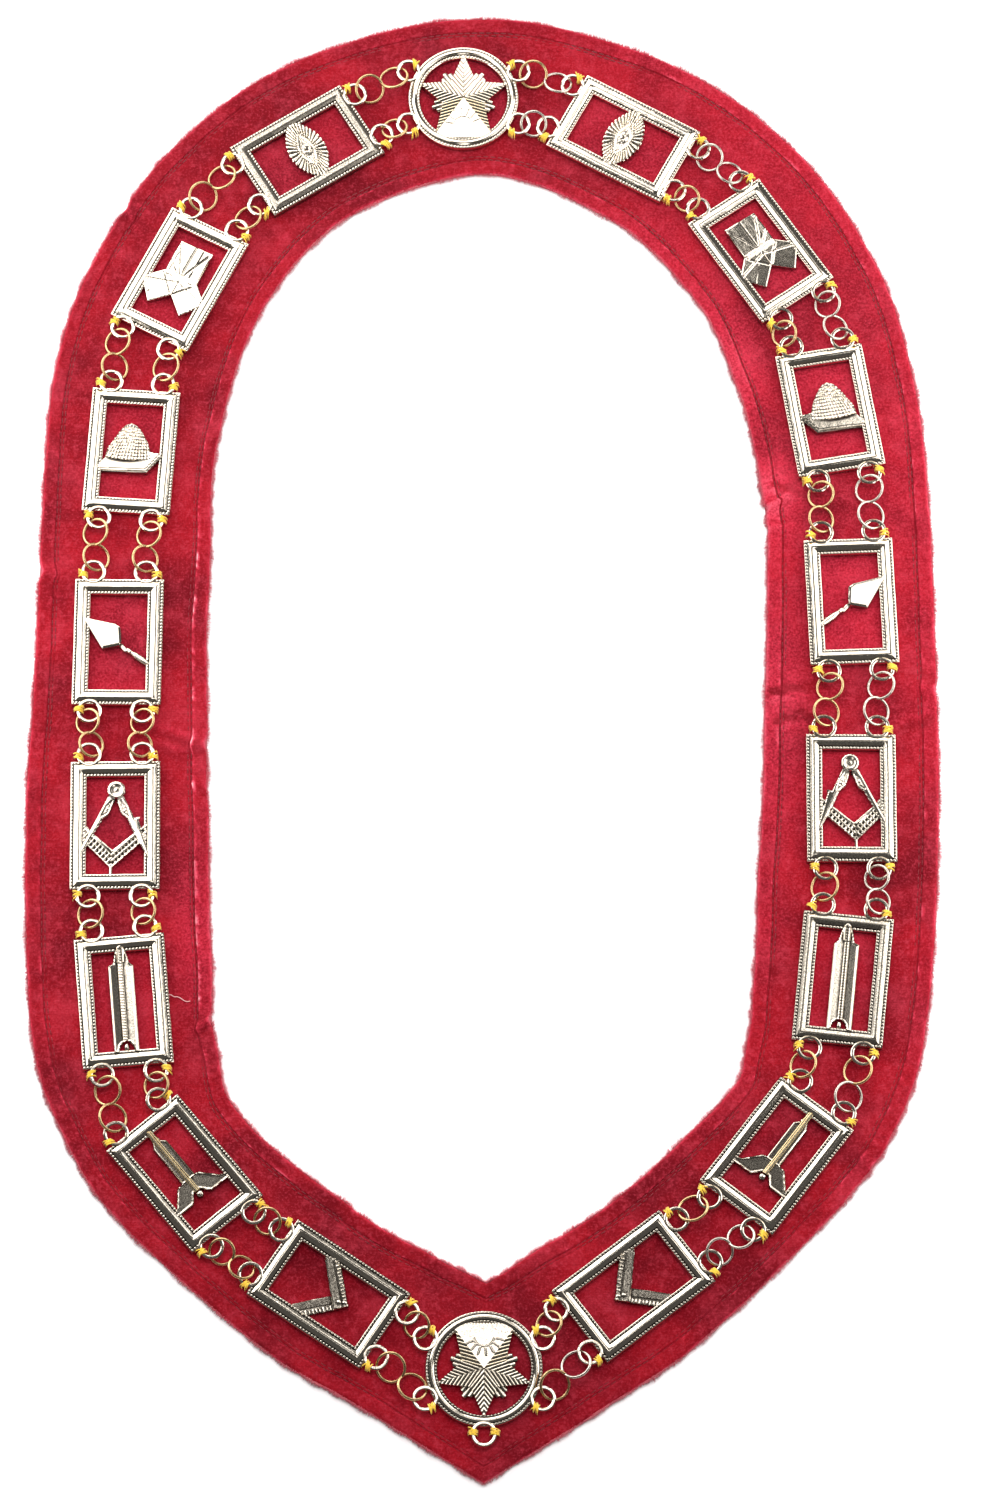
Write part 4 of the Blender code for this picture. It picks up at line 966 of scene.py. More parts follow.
def leaves_relief(x, y):
    """Three folded leaves: facets that tilt a degree or two, with fine grooves between them."""
    upper = to_polygon(x, y, [(-7.5, -1), (7.5, -1), (7.3, 16), (-7.7, 15.8)])
    left = to_polygon(x, y, [(-7.3, 1.4), (-14.8, -6), (-7.5, -15), (0, -8), (0, 1.4)])
    right = to_polygon(x, y, [(7.3, 1.4), (14.8, -6), (7.5, -15), (0, -8), (0, 1.4)])
    folded = np.where(x < -5.2, 0.16 * (5.2 + x), 0)
    top = 3.05 + crowned(upper, 0.3, 0.4) + 0.015 * x * np.sign(np.sin(x)) + folded
    for end in ((0, 16), (-7.0, 14.0), (6.6, 15), (-7.5, 6.5)):
        top = top - rib(to_line(x, y, [(0, 0), end]), 0.3, 0.32)
    found = [(upper, top)]
    for outline, side in ((left, -1), (right, 1)):
        crease = to_line(x, y, [(side * 14.5, -6), (0, -1.7)])
        corner = to_line(x, y, [(side * 7.2, -0.3), (side * 3.6, -4.2), (side * 0.8, -7.4)])
        beyond = np.where(side * x * 7.1 + y * 6.4 > -1.0, 1.0, -1.0)
        face = 3.3 + crowned(outline, 0.3, 0.4) - 0.3 - 0.012 * (y + 6) * beyond
        face = face - rib(crease, 0.3, 0.32) - rib(corner, 0.28, 0.32)
        found.append((outline, face))
    bands = 3.35 + rib(np.abs(y - 0.6) - 0.55, 0.2, 0.35)
    found.append((to_polygon(x, y, [(-7.2, -0.3), (7.2, -0.3), (7.2, 1.6), (-7.2, 1.6)]), bands))
    return found


def hive_relief(x, y):
    """Woven skep on a board: rolls of straw round a low dome, each parted into strands that are
    staggered like bricks. The rolls are 1.5 mm apart, five steps of the grid. The board under it
    leans outwards a little."""
    levels = (-4.6, -3, 0, 2.5, 5, 7.5, 10, 11, 11.6, 12.0)
    half = np.interp(y, levels, (10.2, 9.8, 9.0, 8.0, 6.7, 5.2, 3.5, 2.4, 1.4, 0.0))
    middle = np.interp(y, (-4, 0, 5, 11.7), (-0.6, -0.9, -0.6, -0.7))
    share = np.clip((x - middle) / np.maximum(half, 1e-6), -1, 1)
    foot = -4.6 + 1.5 * (x / 10) ** 2 + 0.03 * x
    skep = np.maximum(np.abs(x - middle) - half, np.maximum(foot - y, y - 12.0)) * 0.8
    rolls = (y - foot + 0.5 * share**2) / 1.5
    slant = (x - middle) / np.maximum(half, 2.5) * 7.2 + 0.5 * np.floor(rolls) + 0.3 * rolls
    strands = np.abs(np.sin(np.pi * slant))
    weave = np.abs(np.sin(np.pi * rolls))
    dome = 3.2 + 1.5 * np.sqrt(clamped(1 - 0.9 * share**2)) * np.clip((13 - y) / 8, 0.3, 1) ** 0.5
    dome = dome + 0.6 * (weave * strands) ** 0.8
    board = [(-13.8, -7.6), (-10.2, -3.2), (8.5, -0.5), (12.5, -1.0), (12.6, -2.6), (7.3, -9.3)]
    board = to_polygon(x, y, [*board, (-12, -9.6)])
    front = to_line(x, y, [(-14, -9.7), (7.3, -9.3), (12.8, -2.4)])
    tread = np.where(front < 0.75, 2.5, np.where(front < 1.5, 2.9, 3.2))
    tread = tread + crowned(board, 0.2, 0.3) + 0.05 * (x + 13) - 0.1
    return [(board, tread), (skep, dome)]


def trowel_relief(x, y):
    """Pointing trowel: a flat blade with bevelled edges, level along its middle and tilted across
    it, with its tip on the border; a shank, a ferrule and a turned handle."""
    outline = [(-14.6, 10.2), (-1.2, 7.1), (0.9, 5.7), (1.5, -1.2), (0.6, -1.9), (-6.4, -3.1)]
    blade = to_polygon(x, y, outline)
    flat = 4.15 + 0.09 * x + 0.12 * y + 0.3 * clamped(-blade / 0.8)
    shank = to_line(x, y, [(0.6, -0.8), (3.7, -3.9)]) - 0.75
    along = ((x - 5.0) * 0.82 - (y + 4.2) * 0.573) / 10.6
    off = np.abs((x - 5.0) * 0.573 + (y + 4.2) * 0.82)
    shares = (-0.16, -0.08, 0.0, 0.05, 0.3, 0.6, 0.85, 1.0)
    girth = np.interp(along, shares, (0.8, 1.1, 0.95, 0.8, 1.3, 1.35, 1.0, 0.3))
    handle = np.maximum(off - girth, np.maximum(-along * 10.6 - 1.7, along * 10.6 - 10.6))
    wood = 2.3 + 1.5 * np.sqrt(clamped(1 - (off / girth) ** 2))
    wood = wood + rib((along - 0.02) * 10.6, 0.3, 0.25)
    return [(blade, flat), (shank, 2.6 + crowned(shank, 0.7, 0.7)), (handle, wood)]


def compasses_relief(x, y):
    """Compasses over a square: bevelled legs with an engraved leaf each, a dished hinge, and a
    groove and two rows of pits along the square. The pits are 1.8 mm apart, six grid steps."""
    notch = [(-9, -3.6), (-1, -10.8), (7, -4.3)]
    outline = [(-1.7, -18.5), (-14.6, -5.2), (-12, 0), *notch, (13, 0.5), (13, -5.5)]
    square = to_polygon(x, y, outline)
    inner = to_line(x, y, [(-14, 1.9), *notch, (14, 1.2)])
    outer = to_line(x, y, [(-15.6, -4.2), (-1.7, -18.5), (14, -4.6)])
    rails = np.minimum(np.abs(outer - 0.35), np.minimum(np.abs(outer - 2.25), np.abs(outer - 4.15)))
    rungs = np.abs((np.abs(x + 1.5) * 0.74 + 0.67 * (y + 18)) % 1.8 - 0.9) + 9 * (outer > 4.15)
    bars = np.minimum(np.minimum(rails, rungs), np.abs(inner - 0.45))
    flat = 2.6 + 0.75 * np.sqrt(clamped(1 - (bars / 0.55) ** 2))
    left = [(-2.9, 12.2), (-8, 2), (-16.9, -15.7), (-13.5, -12), (-5, 2.8), (-3, 4), (-0.4, 10)]
    right = [(3.6, 12.2), (8, 2.5), (9.4, 3), (14.9, -15.7), (14.0, -15.5), (8, -4), (5, 2.8)]
    right += [(2.5, 5), (0.9, 10)]
    left_leaf = [(-1.3, 10.4), (-3.4, 8.2), (-5.6, 3.9), (-3.2, 5.4)]
    right_leaf = [(2.4, 10.4), (3.2, 5.6), (5.7, 3.6), (4.6, 7.6)]
    legs = []
    for outline, crest, leaf in (
        (left, [(-1.9, 11), (-7.2, 1.6), (-16.5, -15.3)], left_leaf),
        (right, [(2.9, 11), (7.6, 1.4), (14.6, -15.2)], right_leaf),
    ):
        leg = to_polygon(x, y, [*outline, (0.5, 14)])
        ridge = to_line(x, y, crest)
        cut = rib(to_line(x, y, [*leaf, leaf[0]]), 0.4, 0.3) * (y > 2.8)
        veins = np.sin(2 * np.pi * (y - 0.5 * x) / 1.5) > 0.2
        cut = cut + 0.2 * veins * (to_polygon(x, y, leaf) < -0.3)
        legs.append((leg, 3.45 + crowned(leg, 0.4, 0.5) - 0.05 * np.minimum(ridge, 3) - cut))
    near = np.hypot(x - 0.5, y - 14.8)
    hinge = 3.9 + crowned(near - 3.7, 0.7, 0.8) + rib(near, 0.3, 0.8)
    hinge = hinge - 0.5 * np.exp(-((near / 2.1) ** 4))
    tie = to_line(x, y, [(-1.7, -18.0), (-1.7, -21.6)]) - 0.5
    spur = to_line(x, y, [(8.0, 2.6), (9.8, 2.9)]) - 0.35
    small = [(tie, 3.0 + crowned(tie, 0.4, 0.5)), (spur, 3.6 + 0 * x)]
    return [(square, flat), *small, *legs, (near - 3.7, hinge)]


def plumb_relief(x, y):
    """Plumb rule: a board hollowed like a low valley, with a lip round it, a beaded strip down its
    middle and a bob in the arch of its foot. The beads are 1.2 mm apart, four steps of the grid."""
    top = [(-3.2, 15.8), (-2.3, 20.2), (-1.4, 23.2), (0, 24.5), (1.4, 23.2), (2.3, 20.2)]
    arch = [(3.4, -21.8), (2.7, -19.0), (1.5, -17.6), (0, -17.0), (-1.5, -17.6), (-2.7, -19.0)]
    sides = [(-5.3, -21.8), (-5.3, 14.7), *top, (3.4, 15.8), (4.9, 14.5), (4.9, -21.8)]
    board = to_polygon(x, y, [*sides, *arch, (-3.4, -21.8)])
    slope = 3.1 + 0.2 * np.minimum(np.abs(x + 0.3), 4.4)
    strip = np.abs(x + 0.3) - 1.1
    beads = 0.22 * clamped(np.abs(np.sin(np.pi * y / 1.2)) * 1.5)
    flat = slope + rib(board + 0.35, 0.35, 0.28) - 0.2 * (board > -0.2)
    flat = np.where(strip < 0, 3.75 + beads * (np.abs(x + 0.3) < 0.6), flat)
    neck = to_line(x, y, [(-1.1, 15), (-1.1, 22.0), (0, 23.2), (1.1, 22.0), (1.1, 15)]) - 0.4
    bob = np.hypot(x + 0.1, (y + 19.6) / 1.7) - 1.0
    return [
        (board, flat),
        (np.maximum(neck, 16 - y), 3.9 + crowned(neck, 0.3, 0.4)),
        (bob, 2.6 + crowned(bob, 1.3, 0.9)),
    ]


def level_relief(x, y):
    """Mason's level: a flat board and two spreading wings, each with a fine lip round it."""
    board = [(-3.7, -3.4), (-3.6, 15.5), (-2, 18), (-1.6, 22.2), (0.5, 22.2), (1.2, 17)]
    board = to_polygon(x, y, [*board, (2.9, 15.3), (2.9, -3.4)])
    wings = [(-3.9, -2.8), (-6.5, -3.3), (-11.7, -9.5), (-14.6, -10.4), (-14.8, -12.4), (-6, -12.4)]
    wings += [(-5, -12), (-2.5, -8.9), (0.5, -8.8), (4, -12.5), (13.4, -12.6), (13.6, -10.4)]
    foot = to_polygon(x, y, [*wings, (10.5, -9.5), (4.7, -3.2), (3.1, -2.6)])
    whole = np.minimum(board, foot)
    ball = np.hypot(x + 0.7, y + 10.7) - 1.35
    lip = rib(whole + 0.4, 0.35, 0.28) - 0.2 * (whole > -0.2)
    return [(board, 3.2 + lip), (foot, 3.2 + lip), (ball, 3.1 + crowned(ball, 1.0, 1.3))]


def add_level_rod(shell, side):
    """The level's rod: a round bar with six ribs along it, washed with gilt and half sunk in the
    board. Its radius is 1.08 mm and a rib rises by 0.14 mm."""
    along = np.concatenate([[-9.2], np.linspace(-9.0, 22.3, 24), [22.5]])
    ribs = np.cos(6 * circle(36) + np.pi)
    thick = np.where((along < -9.1) | (along > 22.4), 0.05, 1.0)[:, None]
    reach = (1.08 + 0.14 * ribs) * thick
    x = -0.7 * side + reach * np.cos(circle(36))
    y = np.broadcast_to(along[:, None], reach.shape)
    z = 3.15 + reach * np.sin(circle(36))
    wear = 1.0 + np.clip(0.4 + 0.4 * ribs, 0, 0.8)
    shell.grid(np.stack([x, y, z], axis=2), round_first=False, wear=wear)


def square_relief(x, y):
    """Builder's square: two arms with ticks along their outer edges, one lapped on the other."""
    whole = [(0, -9.7), (15.6, 5.6), (11.6, 9.9), (0, -1.3), (-11.6, 9.9), (-15.6, 5.6)]
    whole = to_polygon(x, y, whole)
    lap = to_polygon(x, y, [(0, -9.5), (15.4, 5.6), (11.6, 9.7), (-4.4, -5.2)])
    found = []
    for outline, side, high in ((whole, -1, 2.5), (lap, 1, 3.0)):
        along = (side * x + y) / math.sqrt(2)
        from_edge = (side * x - y) / math.sqrt(2)
        ticks = (np.sin(2 * np.pi * along / 1.45) > 0.55) & (np.abs(6.8 - from_edge - 0.9) < 0.75)
        groove = rib(from_edge - 4.4, 0.18, 0.18)
        found.append((outline, high + crowned(outline, 0.35, 0.35) + 0.3 * ticks - groove))
    for cx, cy in ((-0.6, -5.4), (0.4, -7.4)):
        near = np.hypot(x - cx, y - cy) - 0.75
        found.append((near, 3.2 + crowned(near, 0.6, 0.7)))
    return found


def star_relief(x, y):
    """What lies between the star's arms: ribbed rays between the upper ones, and a plain fan with a
    rising sun between the lower two. Heights turn with the angle."""
    radius, angle = np.hypot(x, y), np.degrees(np.arctan2(y, x))
    fold = (angle - 90 + 36) % 72 - 36
    across = radius * np.sin(np.radians(np.abs(fold)))
    along = radius * np.cos(np.radians(np.abs(fold)))
    arm = (along + across * 2.3 - 19.8) * 0.4
    found = []
    for turn in (54, 126, 198, 342):
        off = np.abs((angle - turn + 180) % 360 - 180)
        side = radius * np.sin(np.radians(np.minimum(off, 89)))
        tips = np.where(side < 0.95, 14.0, 12.6)
        ray = np.maximum(side - 2.75, radius - tips)
        bars = np.abs(np.cos(np.pi * side / 1.85)) ** 0.7
        found.append((np.where(off < 60, np.maximum(ray, -0.6 - arm), 5.0), 2.45 + 0.7 * bars))
    off = np.abs((angle + 90 + 180) % 360 - 180)
    teeth = 0.5 * (np.sin(2 * np.pi * x / 1.2) > 0)
    edge = radius * np.sin(np.radians(np.clip(off - 36, -90, 90)))
    fan = np.where(off < 80, np.maximum(edge, -y - 18.2 - teeth), 5.0)
    near, beam = np.hypot(x, y + 13.4), np.arctan2(y + 13.4, x)
    petals = rib(np.abs(np.sin(7.5 * beam)) * near / 7.5, 1.0, 0.25)
    petals = petals * ((near > 4.8) & (near < 8.2) & (y > -12.6))
    flat = 3.9 - 0.02 * radius - 0.09 * petals - rib(near - 4.2, 0.08, 0.3) * (y > -12.8)
    found.append((fan, flat))
    rim = radius - 19.8
    return [(np.maximum(distance, rim), height) for distance, height in found]


def add_star_arms(shell):
    """The star's arms. Ribs run from an arm's middle line outwards and forwards, at 1.3 along to 1
    across, so that they meet in chevrons 2.2 mm apart: the real ones are 1.3 mm apart, too fine to
    show. Rows of points follow the ribs and end on the line along + 2.3 across = 19.8, or where two
    arms meet. The two arms beside the fan have only their upper half."""
    start = np.linspace(0.05, 19.6, 55)
    rise = 0.55 * np.abs(np.sin(np.pi * start / 2.2)) ** 0.6
    end = np.minimum(start * 13.1, (19.8 - start) / 3.6)
    for turn, low, high in ((90, -1, 1), (18, -1, 1), (162, -1, 1), (-54, 0, 1), (234, -1, 0)):
        share = np.linspace(low, high, 9 if high - low == 2 else 5)
        across = end[:, None] * share
        along = start[:, None] + 1.3 * np.abs(across)
        height = 3.85 + rise[:, None] - 0.07 * np.abs(across)
        across, along = (np.hstack([part, part[:, [-1, 0]]]) for part in (across, along))
        height = np.hstack([height, np.full((len(start), 2), EMBLEM_BASE)])
        c, s = turned(turn)
        points = np.stack([along * c - across * s, along * s + across * c, height], axis=2)
        # bright on the ribs' crests, washed with gilt on the arms beside the fan, and dark in the
        # grooves between the ribs and on the arms' sides, which is painted shade
        gilt = 1.4 if turn in (-54, 234) else 1.15
        wear = np.interp(rise, (0.0, 0.37, 0.5), (0.0, 0.6, gilt))[:, None] * np.ones(height.shape)
        wear[:, -2:] = 0.2
        shell.grid(points, round_first=False, wear=wear)


RELIEFS = {
    "eye": eye_relief,
    "leaves": leaves_relief,
    "hive": hive_relief,
    "trowel": trowel_relief,
    "compasses": compasses_relief,
    "plumb": plumb_relief,
    "level": level_relief,
    "square": square_relief,
    "star": star_relief,
}


def blurred(values, weight, cells):
    """The mean of the values round each point, over a square of cells, where weight is 1."""
    size = 2 * cells + 1
    for axis in (0, 1):
        pad = [(0, 0), (0, 0)]
        pad[axis] = (cells + 1, cells)
        sums = []
        for part in (values * weight, weight):
            total = np.moveaxis(np.cumsum(np.pad(part, pad), axis=axis), axis, 0)
            sums.append(np.moveaxis(total[size:] - total[:-size], 0, axis))
        values = sums[0] / np.maximum(sums[1], 1e-6)
        weight = np.minimum(sums[1], 1)
    return values


def add_relief(shell, layers, x, y, step, flat_brightness):
    """A cast emblem from its height over a grid. The highest layer shows at each point. Points just
    beyond the outline move onto it down the slope of the distance, and the rim drops to the base.
    The flat brightness says how bright a flat is; what stands over its neighbours is rubbed
    brighter, and what lies below them darker, which is painted shade in its grooves."""
    distance = np.min([d for d, _ in layers], axis=0)
    height = np.max([np.where(d < 0.02, h, EMBLEM_BASE) for d, h in layers], axis=0)
    near = np.stack([np.where(d < 0.5 * step, d, 1e9) for d, _ in layers])
    alone = np.choose(np.argmin(near, axis=0), [h for _, h in layers])
    height = np.where(distance < 0.02, height, alone)
    inside = distance < 0.55 * step
    cell = inside[:-1, :-1] & inside[1:, :-1] & inside[:-1, 1:] & inside[1:, 1:]
    # where two cells only touch at a corner, one beside them is taken in too
    pinched = (cell[:-1, :-1] == cell[1:, 1:]) & (cell[:-1, 1:] == cell[1:, :-1])
    pinched &= cell[:-1, :-1] != cell[:-1, 1:]
    cell[:-1, :-1] |= pinched
    cell[:-1, 1:] |= pinched
    padded = np.pad(cell, 1).astype(int)
    around = padded[:-1, :-1] + padded[1:, :-1] + padded[:-1, 1:] + padded[1:, 1:]
    used = around > 0
    slope_y, slope_x = np.gradient(distance, step)
    steep = np.maximum(slope_x**2 + slope_y**2, 0.2)
    move = np.where(used & (around < 4), -distance / steep, 0)
    x = x + np.clip(move * slope_x, -0.6 * step, 0.6 * step)
    y = y + np.clip(move * slope_y, -0.6 * step, 0.6 * step)
    # brighter where it stands high, and darker in the grooves, which is painted shade
    wear = clamped(flat_brightness + 2.6 * (height - blurred(height, used.astype(float), 4)))
    count = used.sum()
    number = np.full(used.shape, -1)
    number[used] = np.arange(count)
    top = np.stack([x[used], y[used], height[used]], axis=1)
    low = np.stack([x[used], y[used], np.full(count, EMBLEM_BASE)], axis=1)
    corners = [number[:-1, :-1], number[:-1, 1:], number[1:, 1:], number[1:, :-1]]
    face = np.stack([corner[cell] for corner in corners], axis=1)
    quads = [face, face[:, [0, 3, 2, 1]] + count]
    taken = padded.astype(bool)
    beside = (taken[:-2, 1:-1], taken[1:-1, 2:], taken[2:, 1:-1], taken[1:-1, :-2])
    for k, neighbour in enumerate(beside):
        rim = cell & ~neighbour
        start, end = corners[k][rim], corners[(k + 1) % 4][rim]
        quads.append(np.stack([start, start + count, end + count, end], 1))
    wear = np.concatenate([wear[used], np.full(count, 0.25)])
    shell.add(np.concatenate([top, low]), np.concatenate(quads), wear=wear)


def add_beads(shell, x, y, height, heading, along, across, low):
    """A row of beads: low domes of six sides with base, shoulder and crown, closed underneath and
    0.55 mm high, stretched along and across the row. Low is the brightness of their base, which
    paints the shade in the gaps between beads."""
    ring = np.stack([np.cos(circle(6)), np.sin(circle(6)), 0 * circle(6)], axis=1)
    shoulder = ring * [0.78, 0.78, 0] + [0, 0, 0.62]
    points = np.concatenate([ring - [0, 0, 0.3], shoulder, [[0, 0, 1.0]]])
    faces = [(k, (k + 1) % 6, 6 + (k + 1) % 6, 6 + k) for k in range(6)]
    faces += [(6 + k, 6 + (k + 1) % 6, 12) for k in range(6)]
    faces += [(0, 3, 2, 1), (0, 5, 4, 3)]
    places = flat_places(x, y, height, heading, along, across, 0.55)
    shell.repeat(points, faces, places, np.repeat([low, 1.0], [6, 7]))


def oblong_spots(half_x, half_y, pitch):
    """Evenly spaced points round a rectangle, and the way that each one faces along."""
    length = 4 * (half_x + half_y)
    spots = np.arange(round(length / pitch)) * length / round(length / pitch)
    ends = np.cumsum([0, 2 * half_x, 2 * half_y, 2 * half_x, 2 * half_y])
    x = np.interp(spots, ends, [-half_x, half_x, half_x, -half_x, -half_x])
    y = np.interp(spots, ends, [-half_y, -half_y, half_y, half_y, -half_y])
    heading = np.radians(90) * (np.searchsorted(ends, spots, side="right") - 1)
    return x, y, heading


def add_oblong_border(shell, castings, seed, twist, dull):
    """Border of a plate: its cut carried round the rectangle with mitred corners. Each side is
    bowed by a few hundredths of a millimetre, as a casting is, and rows of beads lie on its two
    ledges. The real beads are 0.9 mm apart, too fine to show, and are drawn at 1.4 mm."""
    half_x, half_y = castings.width * 500, castings.length * 500
    inset, rise, bright = np.array(BORDER_CUT).T
    dice = np.random.default_rng(seed)
    stretches = [np.linspace(k, k + 1, (14, 22)[k % 2], endpoint=False) for k in range(4)]
    steps = np.concatenate(stretches)[:, None]
    side_x = np.interp(steps, range(5), (-1, 1, 1, -1, -1))
    side_y = np.interp(steps, range(5), (-1, -1, 1, 1, -1))
    ease = np.sin(np.pi * (steps % 1))
    sway = [np.sin(steps * rate + dice.random() * 6) for rate in (9, 23, 7)]
    bow = 0.03 * ease * (sway[0] + sway[1])
    x = side_x * (half_x - inset) + bow * (np.abs(side_x) == 1)
    y = side_y * (half_y - inset) + bow * (np.abs(side_y) == 1)
    z = rise + 0.05 * sway[2] * ease * (rise > 2.5)
    shell.grid(np.stack([x, y, z], axis=2), wear=bright * dull)
    pitch = castings.bead * 1000
    for depth, height, across, turn in ((0.7, 3.1, 0.62, twist), (5.93, 3.03, 0.6, -twist)):
        x, y, heading = oblong_spots(half_x - depth, half_y - depth, pitch)
        add_beads(shell, x, y, height, heading + turn, 0.46 * pitch, across, 0.2)


def add_round_border(shell, castings, twist):
    """Rim of a medallion: its cut turned about the middle, with beads on its two ledges."""
    radius = castings.radius * 1000
    inset, rise, bright = np.array(RIM_CUT).T
    turn = circle(120)[:, None]
    reach = radius - inset
    rim = [np.cos(turn) * reach, np.sin(turn) * reach, np.broadcast_to(rise, (120, len(rise)))]
    shell.grid(np.stack(rim, axis=2), wear=bright)
    pitch = castings.bead * 1000
    for depth, height, across in ((0.7, 3.1, 0.6), (4.15, 3.03, 0.5)):
        reach = radius - depth
        spots = circle(round(2 * np.pi * reach / pitch))
        x, y = reach * np.cos(spots), reach * np.sin(spots)
        add_beads(shell, x, y, height, spots + np.pi / 2 + twist, 0.47 * pitch, across, 0.3)


def ring_points(middle, across, aside, radius, wire, steps=28, sides=10):
    """A round wire bent to a circle: the circle lies along two unit directions."""
    middle, across, aside = (np.asarray(v, float) for v in (middle, across, aside))
    turn = circle(steps)[:, None, None]
    section = circle(sides)[None, :, None]
    out = np.cos(turn) * across + np.sin(turn) * aside
    up = np.cross(across, aside) * wire * np.sin(section)
    return middle + out * (radius + wire * np.cos(section)) + up


def loop_middles(name, emblem):
    """Middle and outward angle of each cast loop of a plate."""
    if emblem != "star":
        ends = [(side, end) for side in (-1, 1) for end in (-1, 1)]
        return [(side * LOOP_ACROSS, end * LOOP_ALONG, end * math.pi / 2) for side, end in ends]
    found = []
    for angle in LOOP_ANGLES:
        c, s = turned(angle)
        found.append((LOOP_REACH * c, LOOP_REACH * s, math.radians(angle)))
    if name == "medallion_bottom":
        found.append((0.0, LOOP_REACH, math.pi / 2))
    return found


def plate_pose(across, along, turn):
    """Turn and place of a plate as a 3 by 4 matrix, in millimetres."""
    c, s = turned(turn)
    x, y = across * HALF_WIDTH / 100, along * HALF_LENGTH / 100
    return np.array([[c, -s, 0, x], [s, c, 0, y], [0, 0, 1, PLATE_BASE]])


def make_casting(row, castings, metal):
    """One plate or medallion: border, emblem and loops in one casting."""
    name, emblem, across, along, turn, blackening_and_painted_shade = row
    seed = sum(map(ord, name))
    side = -1 if name.endswith("right") else 1
    twist = BEAD_TWISTS.get(emblem, 0.0)
    shell = Shell()
    if emblem == "star":
        add_round_border(shell, castings, twist)
        add_star_arms(shell)
        reach_x, reach_y = STAR_REACH, STAR_REACH
    else:
        add_oblong_border(shell, castings, seed, twist, DULL_BORDERS.get(name, 1.0))
        reach_x, reach_y = EMBLEM_REACH
    step = castings.grain * 1000
    x, y = np.meshgrid(np.arange(-reach_x, reach_x, step), np.arange(-reach_y, reach_y, step))
    add_relief(shell, RELIEFS[emblem](side * x, y), x, y, step, DULL_EMBLEMS.get(emblem, 0.85))
    if emblem == "level":
        add_level_rod(shell, side)
    for middle_x, middle_y, angle in loop_middles(name, emblem):
        out = (math.cos(angle), math.sin(angle), 0)
        aside = (-math.sin(angle), math.cos(angle), 0)
        middle = (middle_x, middle_y, LOOP_LEVEL - PLATE_BASE)
        shell.grid(ring_points(middle, out, aside, LOOP_RADIUS, LOOP_WIRE), wear=0.85)
    pose = plate_pose(across, along, turn)
    finished(shell.piece(name + "_cast", metal, sharp=33, pose=pose, blackening_and_painted_shade=blackening_and_painted_shade), "pale_nickel", name)


def rings_of(node):
    """Middle, directions and radius of each jump ring of a strand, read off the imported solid. A
    long strand's points are split into two rings, without those near its middle. Each ring's
    points give its plane and, by least squares, its circle."""
    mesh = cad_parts[node].data
    points = np.empty(len(mesh.vertices) * 3)
    mesh.vertices.foreach_get("co", points)
    points = np.unique(np.round(points.reshape(-1, 3) * 1000, 3), axis=0)
    from_middle = points - points.mean(axis=0)
    axes = np.linalg.svd(from_middle, full_matrices=False)[2]
    along, beside = from_middle @ axes[0], from_middle @ axes[1]
    groups = [points]
    if np.ptp(along) >= 1.4 * np.ptp(beside):
        free = 0.5 * np.ptp(along) - 0.9
        groups = [points[along < along.min() + free], points[along > along.max() - free]]
    found = []
    for group in groups:
        centre = group.mean(axis=0)
        plane = np.linalg.svd(group - centre, full_matrices=False)[2]
        flat = (group - centre) @ plane[:2].T
        system = np.column_stack([2 * flat, np.ones(len(flat))])
        cx, cy, rest = np.linalg.lstsq(system, (flat**2).sum(axis=1), rcond=None)[0]
        radius = math.sqrt(rest + cx * cx + cy * cy)
        found.append((centre + cx * plane[0] + cy * plane[1], plane[0], plane[1], radius))
    return found


def make_links(links):
    """Jump rings: a round wire bent to a circle, with a butted gap too fine to see."""
    gilt = wire_material("gilt drawn wire", links.gilt, links.silver)
    silver = wire_material("silver plated drawn wire", links.silver, links.gilt)
    for node in sorted(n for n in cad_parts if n.startswith("links_")):
        bright = node.startswith("links_right_outer")
        shell = Shell()
        rings = rings_of(node)
        reach = [ring[0][:2] @ OTHER_PLATING.get(node, (0, 0)) for ring in rings]
        for ring, away in zip(rings, reach):
            plain = node not in OTHER_PLATING or away < max(reach)
            shell.grid(ring_points(*ring, links.wire * 500, 36, 9), wear=float(plain))
        piece = shell.piece(node + "_wire", silver if bright else gilt)
        finished(piece, "silver_wire" if bright else "gilt_wire", node)


def tube(path, radius):
    """Points of a round thread of six sides along a path, its ends drawn to a point."""
    ahead = np.gradient(path, axis=0)
    ahead /= lengths(ahead)
    side = np.cross(ahead, [0.3, 0.2, 0.93])
    side /= np.maximum(lengths(side), 1e-6)
    third = np.cross(side, ahead)
    thick = np.full((len(path), 1, 1), radius)
    thick[[0, -1]] = 0.1 * radius
    turn = circle(6)[None, :, None]
    return path[:, None] + (side[:, None] * np.cos(turn) + third[:, None] * np.sin(turn)) * thick


def sewn_legs(name, emblem, middle, aside):
    """Which legs of a cast loop are sewn down: the outer one, or both of the loop for a jewel."""
    if emblem != "star":
        return (np.sign(aside[0] * middle[0]),)
    if name == "medallion_bottom" and middle[0] == 0:
        return (-1, 1)
    return (1 if (middle[1] > 0) == (middle[0] > 0) else -1,)


